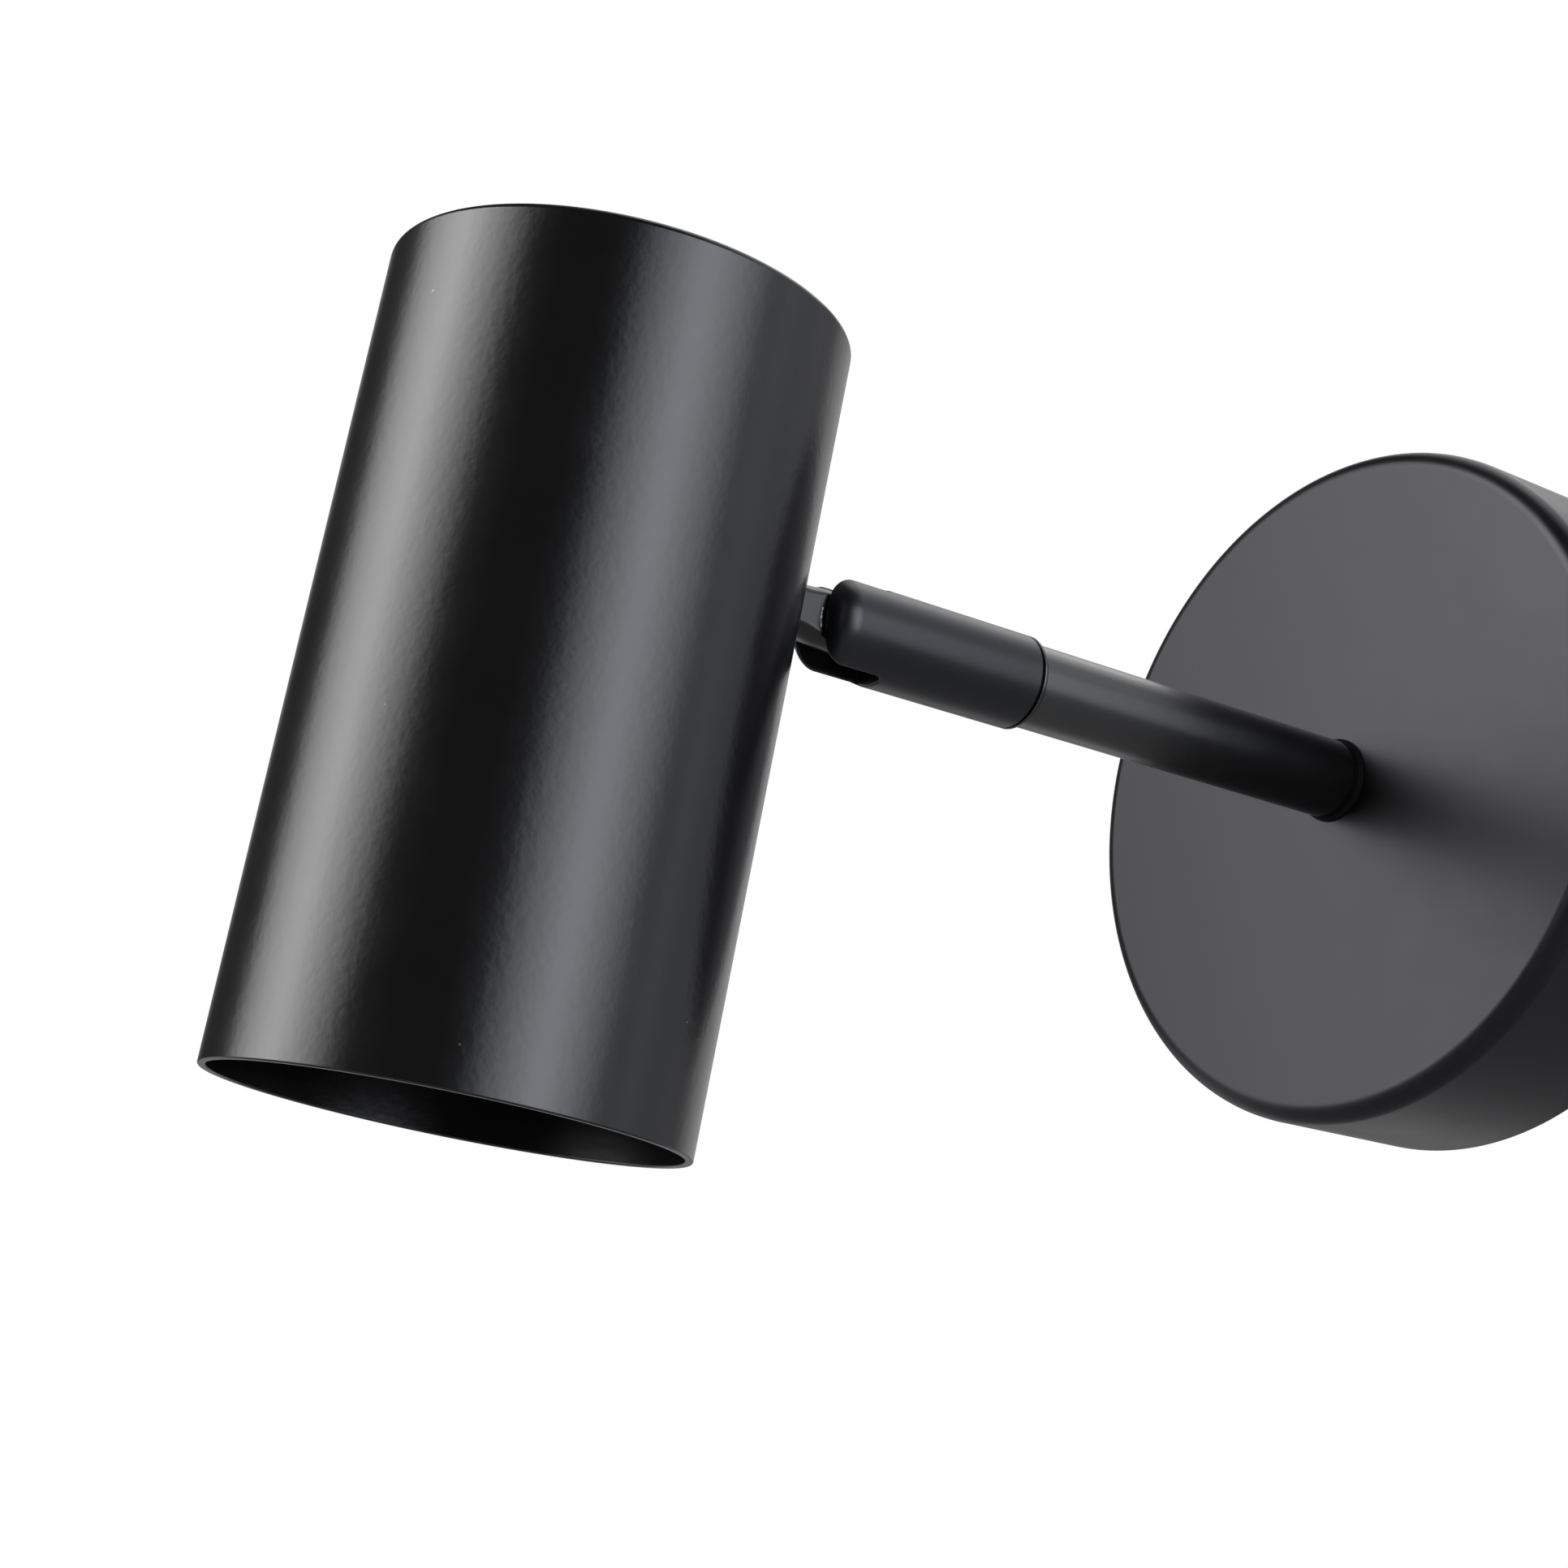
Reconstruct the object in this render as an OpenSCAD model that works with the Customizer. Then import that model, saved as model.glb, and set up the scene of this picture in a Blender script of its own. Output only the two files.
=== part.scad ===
// Adjustable wall light: round wall canopy, straight arm, swivel and tilt knuckle, and a
// cylindrical spot head with a recessed reflector lamp. Sizes are in millimetres.
// The wall is the plane y = 0, the light stands out of it along -Y, and +Z is up.
// The arm's axis runs through the origin, which is the middle of the wall bracket.

/* [Wall canopy] */
// Outer diameter of the canopy
canopy_d = 105; // [98:1:130]
// Depth of the canopy, from the wall to its flat face
canopy_depth = 28.5; // [26:0.5:40]
// Sheet thickness of the canopy
canopy_wall = 1.2; // [0.8:0.1:2]
// Radius of the rolled edge round the canopy's face
canopy_round = 3; // [2.2:0.1:5]
// Height of the two side screws above the wall
side_screw_height = 9.5; // [8:0.5:12]
// Thread diameter of the side screws
side_screw_d = 4; // [3:0.5:5]

/* [Wall bracket] */
// Width of the bracket strap
bracket_w = 22; // [20:1:30]
// Thickness of the bracket strap
bracket_t = 1.5; // [1.2:0.1:2.5]
// Distance between the two wall screws
wall_hole_spacing = 72; // [70:1:76]
// Length of each wall slot, end to end
wall_slot_len = 10; // [8:0.5:11]
// Width of each wall slot
wall_hole_d = 5; // [4:0.5:6]
// Diameter of the supply cable's entry hole
entry_d = 12; // [8:0.5:12.5]
// Width of the bent tabs that take the side screws
tab_w = 14; // [10:1:18]
// Height of the bent tabs above the wall
tab_h = 14; // [13:0.5:18]
// Thread diameter of the earth screw
earth_screw_d = 4; // [3:0.5:5]

/* [Terminal block] */
// Distance from one way of the terminal block to the next
terminal_pitch = 7; // [6.6:0.1:7.2]
// Length of the terminal block along its wires
terminal_len = 16; // [14:1:18]
// Height of the terminal block
terminal_h = 12; // [11:0.5:13]

/* [Arm] */
// Outer diameter of the arm tube
tube_d = 12; // [11.6:0.1:12.6]
// Wall of the arm tube
tube_wall = 1; // [0.8:0.1:1.3]
// Length of the arm tube
tube_len = 58; // [40:1:160]
// Length of the taper at each end of the arm tube
taper_len = 2; // [1:0.1:3]
// Diameter of the taper's foot on the canopy
foot_d = 13.5; // [13:0.1:16]
// Width of the plain band between the upper taper and the swivel washer
band_w = 1.6; // [0.8:0.1:3]
// Bore through the arm's end fittings for the leads
fitting_bore_d = 5.2; // [4.6:0.1:5.6]
// Length of each fitting inside the arm tube
fitting_grip = 10; // [6:0.5:16]
// Length of the threaded shank inside the canopy
shank_len = 11; // [9:0.5:13]
// Width across the flats of the arm nut
arm_nut_af = 14; // [13:0.5:17]
// Thickness of the arm nut
arm_nut_t = 4; // [3:0.5:5]

/* [Swivel] */
// Length of the swivel spigot inside the fork
spigot_len = 12.8; // [11:0.2:15]
// Diameter of the swivel spigot
spigot_d = 8.9; // [8.5:0.1:9.3]
// Thickness of the swivel washer
swivel_washer_t = 0.3; // [0.2:0.05:0.8]
// Outer diameter of the swivel washer
swivel_washer_d = 12.7; // [11:0.1:13]
// Distance of the stop groove's middle from the washer
groove_pos = 6.5; // [5:0.5:8]
// Width of the stop groove
groove_w = 1.8; // [1.7:0.1:3]
// Depth of the stop groove
groove_depth = 1; // [0.8:0.1:1.2]
// Turn of the knuckle each way before the stop, in degrees
swivel_limit = 160; // [90:1:162]

/* [Knuckle] */
// Outer diameter of the knuckle fork
fork_d = 13.5; // [13.2:0.1:14.5]
// Length of the knuckle fork
fork_len = 34.8; // [32:0.2:40]
// Radius of the rounded nose of the fork
fork_round = 3.2; // [2.6:0.1:3.2]
// Distance of the pivot from the fork's nose
pivot_inset = 6.2; // [5.8:0.1:6.8]
// Width of the slot in the fork
slot_w = 6.2; // [6:0.05:6.4]
// Corner radius at the slot's floor
slot_round = 1.2; // [0.8:0.1:1.8]
// Diameter of the tongue's round neck
tongue_d = 8; // [7.6:0.1:8.4]
// Thickness of the tongue between its flats
tongue_t = 5.6; // [5.4:0.05:5.7]
// Distance of the tongue's flange from the pivot
neck_len = 9.4; // [7.8:0.1:12]
// Diameter of the tongue's flange
flange_d = 10; // [9.6:0.1:11]
// Thickness of the tongue's flange
flange_t = 2.2; // [1.5:0.1:4]
// Diameter of the two pivots
pivot_d = 2.6; // [2.2:0.1:3]
// Width of the lead channel through the tongue
channel_w = 2.2; // [2:0.1:2.4]
// Height of the lead channel through the tongue
channel_h = 4.4; // [4:0.1:4.8]

/* [Head] */
// Lean of the head towards the wall at rest, in degrees, turned about the pivot
head_lean = 4; // [-20:1:20]
// Outer diameter of the head
head_d = 60; // [58:1:80]
// Length of the head
head_len = 105; // [100:1:140]
// Sheet thickness of the head
head_wall = 1; // [0.8:0.1:1.5]
// Radius of the edge at the head's closed end
head_round = 1; // [0.5:0.1:3]
// Distance of the knuckle from the head's closed end
stud_drop = 29; // [26:0.2:36]
// Thickness of the saddle washer between the knuckle and the head
saddle_t = 2; // [1:0.1:4]
// Outer diameter of the saddle washer
saddle_d = 11; // [10.4:0.1:14]
// Thread diameter of the hollow stud
stud_d = 8; // [7:0.1:8.6]
// Width across the flats of the stud nut
stud_nut_af = 13; // [12:0.5:15]
// Thickness of the stud nut
stud_nut_t = 4; // [3:0.5:5]

/* [Lamp and its holder] */
// Sheet thickness of the holder bracket
holder_bracket_t = 1.2; // [1:0.1:2]
// Width of the holder bracket
holder_bracket_w = 12; // [11:0.5:14]
// Diameter of the ceramic lampholder
holder_d = 26; // [26:0.5:28]
// Height of the ceramic lampholder
holder_h = 15; // [13:0.5:16]
// Distance between the lampholder's two fixing screws
holder_screw_spacing = 20; // [18:0.5:20]
// Diameter of the lamp's front
lamp_d = 50; // [46:1:51]
// Length of the lamp, from its lens to its seat on the holder
lamp_len = 46.5; // [42:0.5:50]
// Distance between the lamp's two pins
pin_spacing = 10; // [9:0.5:10]
// Diameter of the lamp's lens
lens_d = 45; // [40:0.5:46]

/* [Leads] */
// Diameter of each insulated lead
lead_d = 1.7; // [1.4:0.1:1.8]
// Distance between the two leads in the arm, middle to middle
lead_gap = 1.9; // [1.85:0.05:2]

/* [Hidden] */
$fn = 96;

// Clearances: threads and pressed parts, running fits, and parts that only lie near each other
thread_gap = 0.05;
running_gap = 0.05;
loose_gap = 0.2;
touch_gap = 0.02;

// Washers
lock_washer_t = 0.8;
friction_washer_t = (slot_w - tongue_t) / 2 - touch_gap;

// Places along the arm, measured from the canopy's face
tube_start = taper_len;
tube_end = tube_start + tube_len;
band_start = tube_end + taper_len;
swivel_face = band_start + band_w;
fork_start = swivel_face + swivel_washer_t + touch_gap;
fork_nose = fork_start + fork_len;
pivot_pos = fork_nose - pivot_inset;
slot_floor = pivot_pos - tongue_d / 2 - loose_gap;
spigot_end = swivel_face + spigot_len;
head_surface = pivot_pos + neck_len + flange_t + saddle_t;
head_axis = head_surface + head_d / 2;

// Radii of the arm
tube_bore_d = tube_d - 2 * tube_wall;
shank_d = tube_bore_d - 2 * thread_gap;
fork_bore_d = spigot_d + 2 * running_gap;

// Places in the head, measured up from its open end
stud_height = head_len - stud_drop;
head_bore_d = head_d - 2 * head_wall;
stud_nut_corner = stud_nut_af / sqrt(3);
holder_leg = stud_height + stud_nut_corner + 1.9;
holder_seat = holder_leg - holder_h;
lamp_front = holder_seat - lamp_len;
leg_out = sqrt(pow(head_bore_d / 2, 2) - pow(holder_bracket_w / 2, 2)) - touch_gap;
leg_in = leg_out - holder_bracket_t;
lock_washer_in = leg_in - lock_washer_t - touch_gap;
stud_nut_in = lock_washer_in - stud_nut_t;
stud_end = stud_nut_in - 1;

// The wall bracket
tab_out = sqrt(pow(canopy_d / 2 - canopy_wall, 2) - pow(tab_w / 2, 2)) - loose_gap;
strap_out = tab_out - bracket_t;
terminal_ways = 3;
terminal_mid = entry_d / 2 + 1 + terminal_ways * terminal_pitch / 2;
terminal_bore_height = bracket_t + 5;
earth_x = entry_d / 2 + 9;
clamp_offset = terminal_len / 4;
lead_end_z = clamp_offset / 2;

// Small pieces of the wall side
earth_washer_t = 0.8;
earth_tag_t = 0.6;
tag_reach = 7;
tag_barrel_len = 4;
tag_barrel_height = earth_tag_t / 2 + lead_d / 2 + 0.3;
terminal_screw_d = 3;
terminal_seat = bracket_t + 7.6;
insert_d = 4.4;
insert_bore_d = 2.6;
clamp_screw_d = 2.5;

// Small pieces of the knuckle
near_seat = slot_w / 2 + 1.6;
far_seat = slot_w / 2 + 1.5;
pivot_head_d = 4.8;
pivot_tip = channel_w / 2 + 0.2;
grub_d = 3;
grub_tip_d = 1.5;
grub_tip_in = spigot_d / 2 - groove_depth + loose_gap;

// The lampholder's screws, wells and lead ports
holder_screw_d = 3;
holder_recess = 3.2;
pin_hole_d = 5.4;
pin_slot_w = 3.6;
pin_twist = 30;
pin_well_depth = 8.6;
chamber_start = 4;
chamber_w = 5.8;
chamber_turn = asin(chamber_w / pin_spacing);
lead_port_height = stud_height + 4.4;
lead_port_x = 3.6;
lead_port_depth = 7;
lead_bend = 2.6;

// The lamp
lens_t = 2.4;
base_d = 22;
rim_h = 4;
fins = 20;
fin_t = 1;
lamp_body_len = lamp_len * 0.74;

// Routes of the leads' free stretches, chosen by hand, as x, distance from the wall, and z
live_bend = [[-0.2, 14.6, 2.4], [-1, 13, 7], [-4, 11.5, 13.5], [-10, 9.5, 17.5], [-16, 7.4, 15.5]];
neutral_bend = [[0, 13.2, -0.4], [-0.4, 10.8, 3], [-2.4, 9.2, 9], [-5.6, 8, 13], [-9.4, 7, 13.2]];
earth_bend = [[14, 4, 17], [10, 6, 21], [0, 7, 23], [-12, 7, 23], [-21, 6.8, 19]];

// Lays its children on the arm: their +Z runs out along the arm, from t past the canopy's face
module on_arm(t = 0) {
  translate([0, -(canopy_depth + t), 0]) rotate([90, 0, 0]) children();
}

// Turns its children about the pivot, from square to the arm to how the head leans at rest
module leaning() {
  pivot_y = canopy_depth + pivot_pos;
  translate([0, -pivot_y, 0]) rotate([-head_lean, 0, 0]) translate([0, pivot_y, 0]) children();
}

// Lays its children in the head: +Z is up from the open end, and +Y faces the knuckle
module in_head(h = 0) {
  leaning() translate([0, -(canopy_depth + head_axis), h - stud_height]) children();
}

// Lays its children across the arm at the pivot: their +Z runs along the pivot, to +X
module on_pivot() {
  on_arm(pivot_pos) rotate([0, 90, 0]) children();
}

// Lays its children on the wall: their +Z runs away from the wall, and their +Y is up
module on_wall(h = 0) {
  translate([0, -h, 0]) rotate([90, 0, 0]) children();
}

module ring(outer_d, inner_d, h) {
  difference() {
    cylinder(d = outer_d, h = h);
    translate([0, 0, -1]) cylinder(d = inner_d, h = h + 2);
  }
}

module hex_nut(af, bore_d, h) {
  corner = af / sqrt(3);
  difference() {
    intersection() {
      cylinder(r = corner, h = h, $fn = 6);
      union() {
        translate([0, 0, h / 2]) cylinder(r1 = corner + h / 4, r2 = corner - h / 8, h = h / 2);
        cylinder(r1 = corner - h / 8, r2 = corner + h / 4, h = h / 2);
      }
    }
    translate([0, 0, -1]) cylinder(d = bore_d, h = h + 2);
  }
}

// A screw with a low domed head and a slot: its head stands on z = 0, and its shank runs down
module slotted_screw(d, shank, head_diameter, head_h, slot) {
  dome = head_h * 0.6;
  difference() {
    union() {
      cylinder(d = head_diameter, h = head_h - dome);
      translate([0, 0, head_h - dome]) cylinder(d1 = head_diameter, d2 = head_diameter * 0.7, h = dome);
      translate([0, 0, -shank]) cylinder(d = d, h = shank);
    }
    translate([-head_diameter, -slot / 2, head_h * 0.5]) cube([2 * head_diameter, slot, head_h]);
  }
}

// An open cup turned about Z: its mouth lies on z = 0 and its closed end is rounded
module cup(d, h, wall, edge) {
  inner_edge = max(edge - wall, 0.2);
  lip = wall / 4;
  rotate_extrude() difference() {
    union() {
      square([d / 2 - edge, h]);
      translate([0, lip]) square([d / 2, h - edge - lip]);
      square([d / 2 - lip, lip]);
      translate([d / 2 - edge, h - edge]) circle(r = edge);
      translate([d / 2 - lip, lip]) circle(r = lip);
    }
    translate([0, -1]) square([d / 2 - wall - inner_edge, h - wall + 1]);
    translate([0, -1]) square([d / 2 - wall, h - wall - inner_edge + 1]);
    translate([d / 2 - wall - inner_edge, h - wall - inner_edge]) circle(r = inner_edge);
  }
}

function unit(v) = v / norm(v);
function catmull(a, b, c, d, t) =
  (2 * b + (c - a) * t + (2 * a - 5 * b + 4 * c - d) * t * t + (3 * b - a - 3 * c + d) * t * t * t) / 2;
// The curve through a few chosen points, in steps of one nth of each stretch
function curve(points, n) = let (last = len(points) - 1) concat(
  [for (i = [0 : last - 1], k = [0 : n - 1])
    catmull(points[max(i - 1, 0)], points[i], points[i + 1], points[min(i + 2, last)], k / n)],
  [points[last]]);
function heading(path, i) = unit(path[min(i + 1, len(path) - 1)] - path[max(i - 1, 0)]);
function squared_to(v, t) = unit(v - (v * t) * t);
// A direction across the path at each point, carried along it without twist
function across(path, first) =
  [for (i = 0, v = squared_to(first, heading(path, 0)); i < len(path);
        i = i + 1, v = squared_to(v, heading(path, i < len(path) ? i : i - 1))) v];

// A round lead swept along a path
module lead(path, d = lead_d, first = [0, 1, 0.1], sides = 8) {
  side = across(path, first);
  rings = len(path);
  points = [for (i = [0 : rings - 1], k = [0 : sides - 1])
    let (t = heading(path, i), a = 360 * k / sides)
      path[i] + d / 2 * (cos(a) * side[i] + sin(a) * cross(t, side[i]))];
  walls = [for (i = [0 : rings - 2], k = [0 : sides - 1])
    let (a = i * sides + k, b = i * sides + (k + 1) % sides)
      each [[a, b + sides, b], [a, a + sides, b + sides]]];
  near_end = [for (k = [1 : sides - 2]) [0, k, k + 1]];
  far_end = [for (k = [1 : sides - 2]) let (a = (rings - 1) * sides) [a, a + k + 1, a + k]];
  polyhedron(points = points, faces = concat(walls, near_end, far_end), convexity = 4);
}

// Wall side

// Flat strap of the bracket. Its bent ends are the tabs below, which meet it face to face.
module wall_bracket() {
  color("gainsboro") on_wall() difference() {
    translate([-strap_out, -bracket_w / 2, 0]) cube([2 * strap_out, bracket_w, bracket_t]);
    for (s = [-1, 1]) {
      translate([s * wall_hole_spacing / 2, 0, -1]) slot_hole(wall_hole_d, wall_slot_len, bracket_t + 2);
      strap_corner_cuts(s);
    }
    translate([0, 0, -1]) cylinder(d = entry_d, h = bracket_t + 2);
    translate([earth_x, 0, -1]) cylinder(d = earth_screw_d + 2 * thread_gap, h = bracket_t + 2);
    translate([-terminal_mid, 0, -1]) cylinder(d = terminal_screw_d + 2 * thread_gap, h = bracket_t + 2);
  }
}

// The bracket's upturned ends, threaded for the side screws
module bracket_tabs() {
  color("gainsboro") on_wall() for (s = [-1, 1]) difference() {
    translate([s * (tab_out - bracket_t / 2) - bracket_t / 2, -tab_w / 2, 0])
      cube([bracket_t, tab_w, tab_h]);
    translate([s * tab_out, 0, side_screw_height]) rotate([0, 90, 0])
      cylinder(d = side_screw_d + 2 * thread_gap, h = 4 * bracket_t, center = true);
  }
}

// The strap's corners are cut back so that it passes inside the round canopy
module strap_corner_cuts(s) {
  reach = canopy_d / 2 - canopy_wall - 2 * loose_gap;
  corner_x = sqrt(pow(reach, 2) - pow(bracket_w / 2, 2));
  if (corner_x < strap_out)
    for (side = [-1, 1])
      translate([s * (corner_x + tab_out) / 2, side * (tab_w + bracket_w) / 4, 0])
        cube([tab_out - corner_x + touch_gap, (bracket_w - tab_w) / 2 + touch_gap, 4 * bracket_t],
             center = true);
}

module slot_hole(d, length, h) {
  run = length - d;
  translate([-run / 2, -d / 2, 0]) cube([run, d, h]);
  for (s = [-1, 1]) translate([s * run / 2, 0, 0]) cylinder(d = d, h = h);
}

module canopy() {
  color([0.08, 0.08, 0.085]) on_wall() difference() {
    cup(canopy_d, canopy_depth, canopy_wall, canopy_round);
    cylinder(d = shank_d + 2 * loose_gap, h = canopy_depth + 1);
    translate([0, 0, side_screw_height]) rotate([0, 90, 0])
      cylinder(d = side_screw_d + 2 * loose_gap, h = canopy_d + 2, center = true);
  }
}

module canopy_screws() {
  head_h = 2;
  shank = canopy_d / 2 - tab_out + bracket_t + 1;
  color([0.08, 0.08, 0.085]) on_wall(side_screw_height)
    for (s = [-1, 1])
      translate([s * (canopy_d / 2 + touch_gap), 0, 0]) rotate([0, s * 90, 0])
        slotted_screw(side_screw_d, shank, side_screw_d * 1.7, head_h, 0.9);
}

module earth_screw() {
  color("gold") on_wall(bracket_t + touch_gap) translate([earth_x, 0, 0]) {
    translate([0, 0, earth_tag_t + earth_washer_t + 2 * touch_gap])
      slotted_screw(earth_screw_d, bracket_t + earth_tag_t + earth_washer_t, earth_screw_d * 1.8, 2.2, 1);
    translate([0, 0, earth_tag_t + touch_gap])
      ring(earth_screw_d * 2, earth_screw_d + 2 * thread_gap, earth_washer_t);
  }
}

// The ring tag under the earth screw, with the barrel that grips the earth lead
module earth_tag() {
  color("silver") on_wall(bracket_t + touch_gap) translate([earth_x, 0, 0]) difference() {
    union() {
      cylinder(d = earth_screw_d * 2, h = earth_tag_t);
      translate([-1.5, 0, 0]) cube([3, tag_reach, earth_tag_t]);
      translate([0, tag_reach - 1, tag_barrel_height]) rotate([-90, 0, 0])
        cylinder(d = lead_d + 1.2, h = tag_barrel_len + 1);
    }
    translate([0, 0, -1]) cylinder(d = earth_screw_d + 2 * thread_gap, h = 4);
    translate([0, tag_reach - 0.5, tag_barrel_height]) rotate([-90, 0, 0])
      cylinder(d = lead_d + 2 * thread_gap, h = tag_barrel_len + 1);
  }
}

// Repeats its children at each way of the terminal block
module each_way() {
  for (i = [0 : terminal_ways - 1])
    translate([-terminal_mid + (i - (terminal_ways - 1) / 2) * terminal_pitch, 0, 0]) children();
}

module terminal_block() {
  base_h = terminal_h - 4;
  tower_d = terminal_pitch - 1;
  base_x = -terminal_mid - terminal_ways * terminal_pitch / 2 + 0.3;
  color("ivory") on_wall() difference() {
    union() {
      translate([base_x, -terminal_len / 2, bracket_t + touch_gap])
        cube([terminal_ways * terminal_pitch - 0.6, terminal_len, base_h]);
      each_way() for (s = [-1, 1])
        translate([0, s * clamp_offset, bracket_t + 1]) cylinder(d = tower_d, h = terminal_h - 1);
    }
    each_way() {
      translate([0, terminal_len / 2 + 1, terminal_bore_height]) rotate([90, 0, 0])
        cylinder(d = insert_d + 2 * thread_gap, h = terminal_len + 2);
      for (s = [-1, 1])
        translate([0, s * clamp_offset, terminal_bore_height])
          cylinder(d = clamp_screw_d + 0.6, h = terminal_h);
    }
    translate([-terminal_mid, 0, 0]) cylinder(d = terminal_screw_d + 2 * loose_gap, h = terminal_h);
    translate([-terminal_mid, 0, terminal_seat]) cylinder(d = terminal_screw_d * 1.9, h = terminal_h);
  }
}

module terminal_inserts() {
  length = terminal_len - 3;
  color("gold") on_wall() difference() {
    each_way() translate([0, length / 2, terminal_bore_height]) rotate([90, 0, 0])
      ring(insert_d, insert_bore_d, length);
    each_way() for (s = [-1, 1])
      translate([0, s * clamp_offset, terminal_bore_height])
        cylinder(d = clamp_screw_d + 2 * thread_gap, h = terminal_h);
    // The fixing screw passes between the middle insert's two halves
    translate([-terminal_mid, 0, 0]) cylinder(d = terminal_screw_d + 3 * loose_gap, h = terminal_h);
  }
}

module terminal_screws() {
  length = 3.6;
  bottom = terminal_bore_height + lead_d / 2 + touch_gap;
  color("gold") on_wall() each_way() for (s = [-1, 1])
    translate([0, s * clamp_offset, bottom]) difference() {
      cylinder(d = clamp_screw_d, h = length);
      translate([-clamp_screw_d, -0.3, length - 0.8]) cube([2 * clamp_screw_d, 0.6, 1]);
    }
}

module terminal_fixing_screw() {
  color("silver") on_wall(terminal_seat + touch_gap) translate([-terminal_mid, 0, 0])
    slotted_screw(terminal_screw_d, terminal_seat, terminal_screw_d * 1.7, 1.8, 0.8);
}

// Arm

// Turned end fitting: taper on the canopy, shank through the canopy, and plug in the tube
module base_fitting() {
  color([0.08, 0.08, 0.085]) on_arm() difference() {
    union() {
      cylinder(d1 = foot_d, d2 = tube_d, h = taper_len);
      translate([0, 0, -shank_len]) cylinder(d = shank_d, h = shank_len + taper_len + fitting_grip);
    }
    translate([0, 0, -shank_len - 1])
      cylinder(d = fitting_bore_d, h = shank_len + taper_len + fitting_grip + 2);
  }
}

module arm_lock_washer() {
  teeth = 12;
  outer = arm_nut_af * 1.2;
  inner = shank_d + 2 * loose_gap;
  color("silver") on_arm(-canopy_wall - lock_washer_t - touch_gap) difference() {
    ring(outer, inner, lock_washer_t);
    for (i = [0 : teeth - 1])
      rotate(i * 360 / teeth) translate([outer / 2 - 0.9, -0.4, -1]) cube([2, 0.8, lock_washer_t + 2]);
  }
}

module arm_nut() {
  color("silver") on_arm(-canopy_wall - lock_washer_t - 2 * touch_gap - arm_nut_t)
    hex_nut(arm_nut_af, shank_d + 2 * thread_gap, arm_nut_t);
}

module arm_tube() {
  color([0.08, 0.08, 0.085]) on_arm(tube_start + touch_gap)
    ring(tube_d, tube_bore_d, tube_len - 2 * touch_gap);
}

// Turned end fitting: plug in the tube, taper and band, and the shaft that the fork turns on.
// A groove round the shaft takes the grub screw's tip, and a land in the groove stops it.
module swivel_spigot() {
  tip_angle = asin(grub_tip_d / 2 / (grub_tip_in - touch_gap));
  land = 180 - swivel_limit - tip_angle;
  color([0.08, 0.08, 0.085]) on_arm() difference() {
    union() {
      translate([0, 0, tube_end - fitting_grip]) cylinder(d = shank_d, h = fitting_grip);
      translate([0, 0, tube_end]) cylinder(d1 = tube_d, d2 = fork_d, h = taper_len);
      translate([0, 0, band_start]) cylinder(d = fork_d, h = band_w);
      translate([0, 0, swivel_face]) cylinder(d = spigot_d, h = spigot_len);
    }
    translate([0, 0, tube_end - fitting_grip - 1])
      cylinder(d = fitting_bore_d, h = fitting_grip + spigot_end - tube_end + 2);
    rotate(land) rotate_extrude(angle = 360 - 2 * land)
      translate([spigot_d / 2 - groove_depth, fork_start + groove_pos - groove_w / 2])
        square([groove_depth + 1, groove_w]);
  }
}

module swivel_washer() {
  color([0.02, 0.02, 0.02]) on_arm(swivel_face + touch_gap / 2)
    ring(swivel_washer_d, fork_bore_d + 2 * loose_gap, swivel_washer_t);
}

// Knuckle

// Round sleeve with a rounded nose, slotted for the tongue and bored for the swivel spigot
module knuckle_fork() {
  bore_depth = spigot_len + 0.4;
  slot_half = slot_w / 2;
  color([0.08, 0.08, 0.085]) on_arm(fork_start) difference() {
    rotate_extrude() {
      square([fork_d / 2 - fork_round, fork_len]);
      square([fork_d / 2, fork_len - fork_round]);
      translate([fork_d / 2 - fork_round, fork_len - fork_round]) circle(r = fork_round);
    }
    translate([0, 0, -1]) cylinder(d = fork_bore_d, h = bore_depth + 1);
    cylinder(d = fitting_bore_d, h = fork_len);
    // The slot, open above, below and at the nose
    translate([-slot_half, -fork_d, slot_floor - fork_start + slot_round])
      cube([slot_w, 2 * fork_d, fork_len]);
    translate([-slot_half + slot_round, -fork_d, slot_floor - fork_start])
      cube([slot_w - 2 * slot_round, 2 * fork_d, fork_len]);
    for (s = [-1, 1])
      translate([s * (slot_half - slot_round), 0, slot_floor - fork_start + slot_round]) rotate([90, 0, 0])
        cylinder(r = slot_round, h = 2 * fork_d, center = true);
    // Pivot seats: blind on the near ear, through and counterbored on the far ear
    translate([0, 0, pivot_pos - fork_start]) rotate([0, 90, 0]) {
      cylinder(d = pivot_d + 2 * touch_gap, h = near_seat);
      translate([0, 0, -fork_d]) cylinder(d = pivot_d + 2 * touch_gap, h = fork_d);
      translate([0, 0, -fork_d]) cylinder(d = pivot_head_d + 2 * loose_gap, h = fork_d - far_seat);
    }
    translate([-fork_d, 0, groove_pos]) rotate([0, 90, 0]) cylinder(d = grub_d + 2 * thread_gap, h = fork_d);
  }
}

module swivel_grub_screw() {
  body_in = spigot_d / 2 + 2 * running_gap;
  body_out = fork_d / 2 - 0.2;
  color([0.1, 0.1, 0.1]) on_arm(fork_start + groove_pos) rotate([0, -90, 0]) difference() {
    union() {
      translate([0, 0, body_in]) cylinder(d = grub_d, h = body_out - body_in);
      translate([0, 0, grub_tip_in]) cylinder(d = grub_tip_d, h = body_out - grub_tip_in);
    }
    translate([0, 0, body_out - 0.9]) cylinder(d = 1.7, h = 2, $fn = 6);
  }
}

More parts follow.
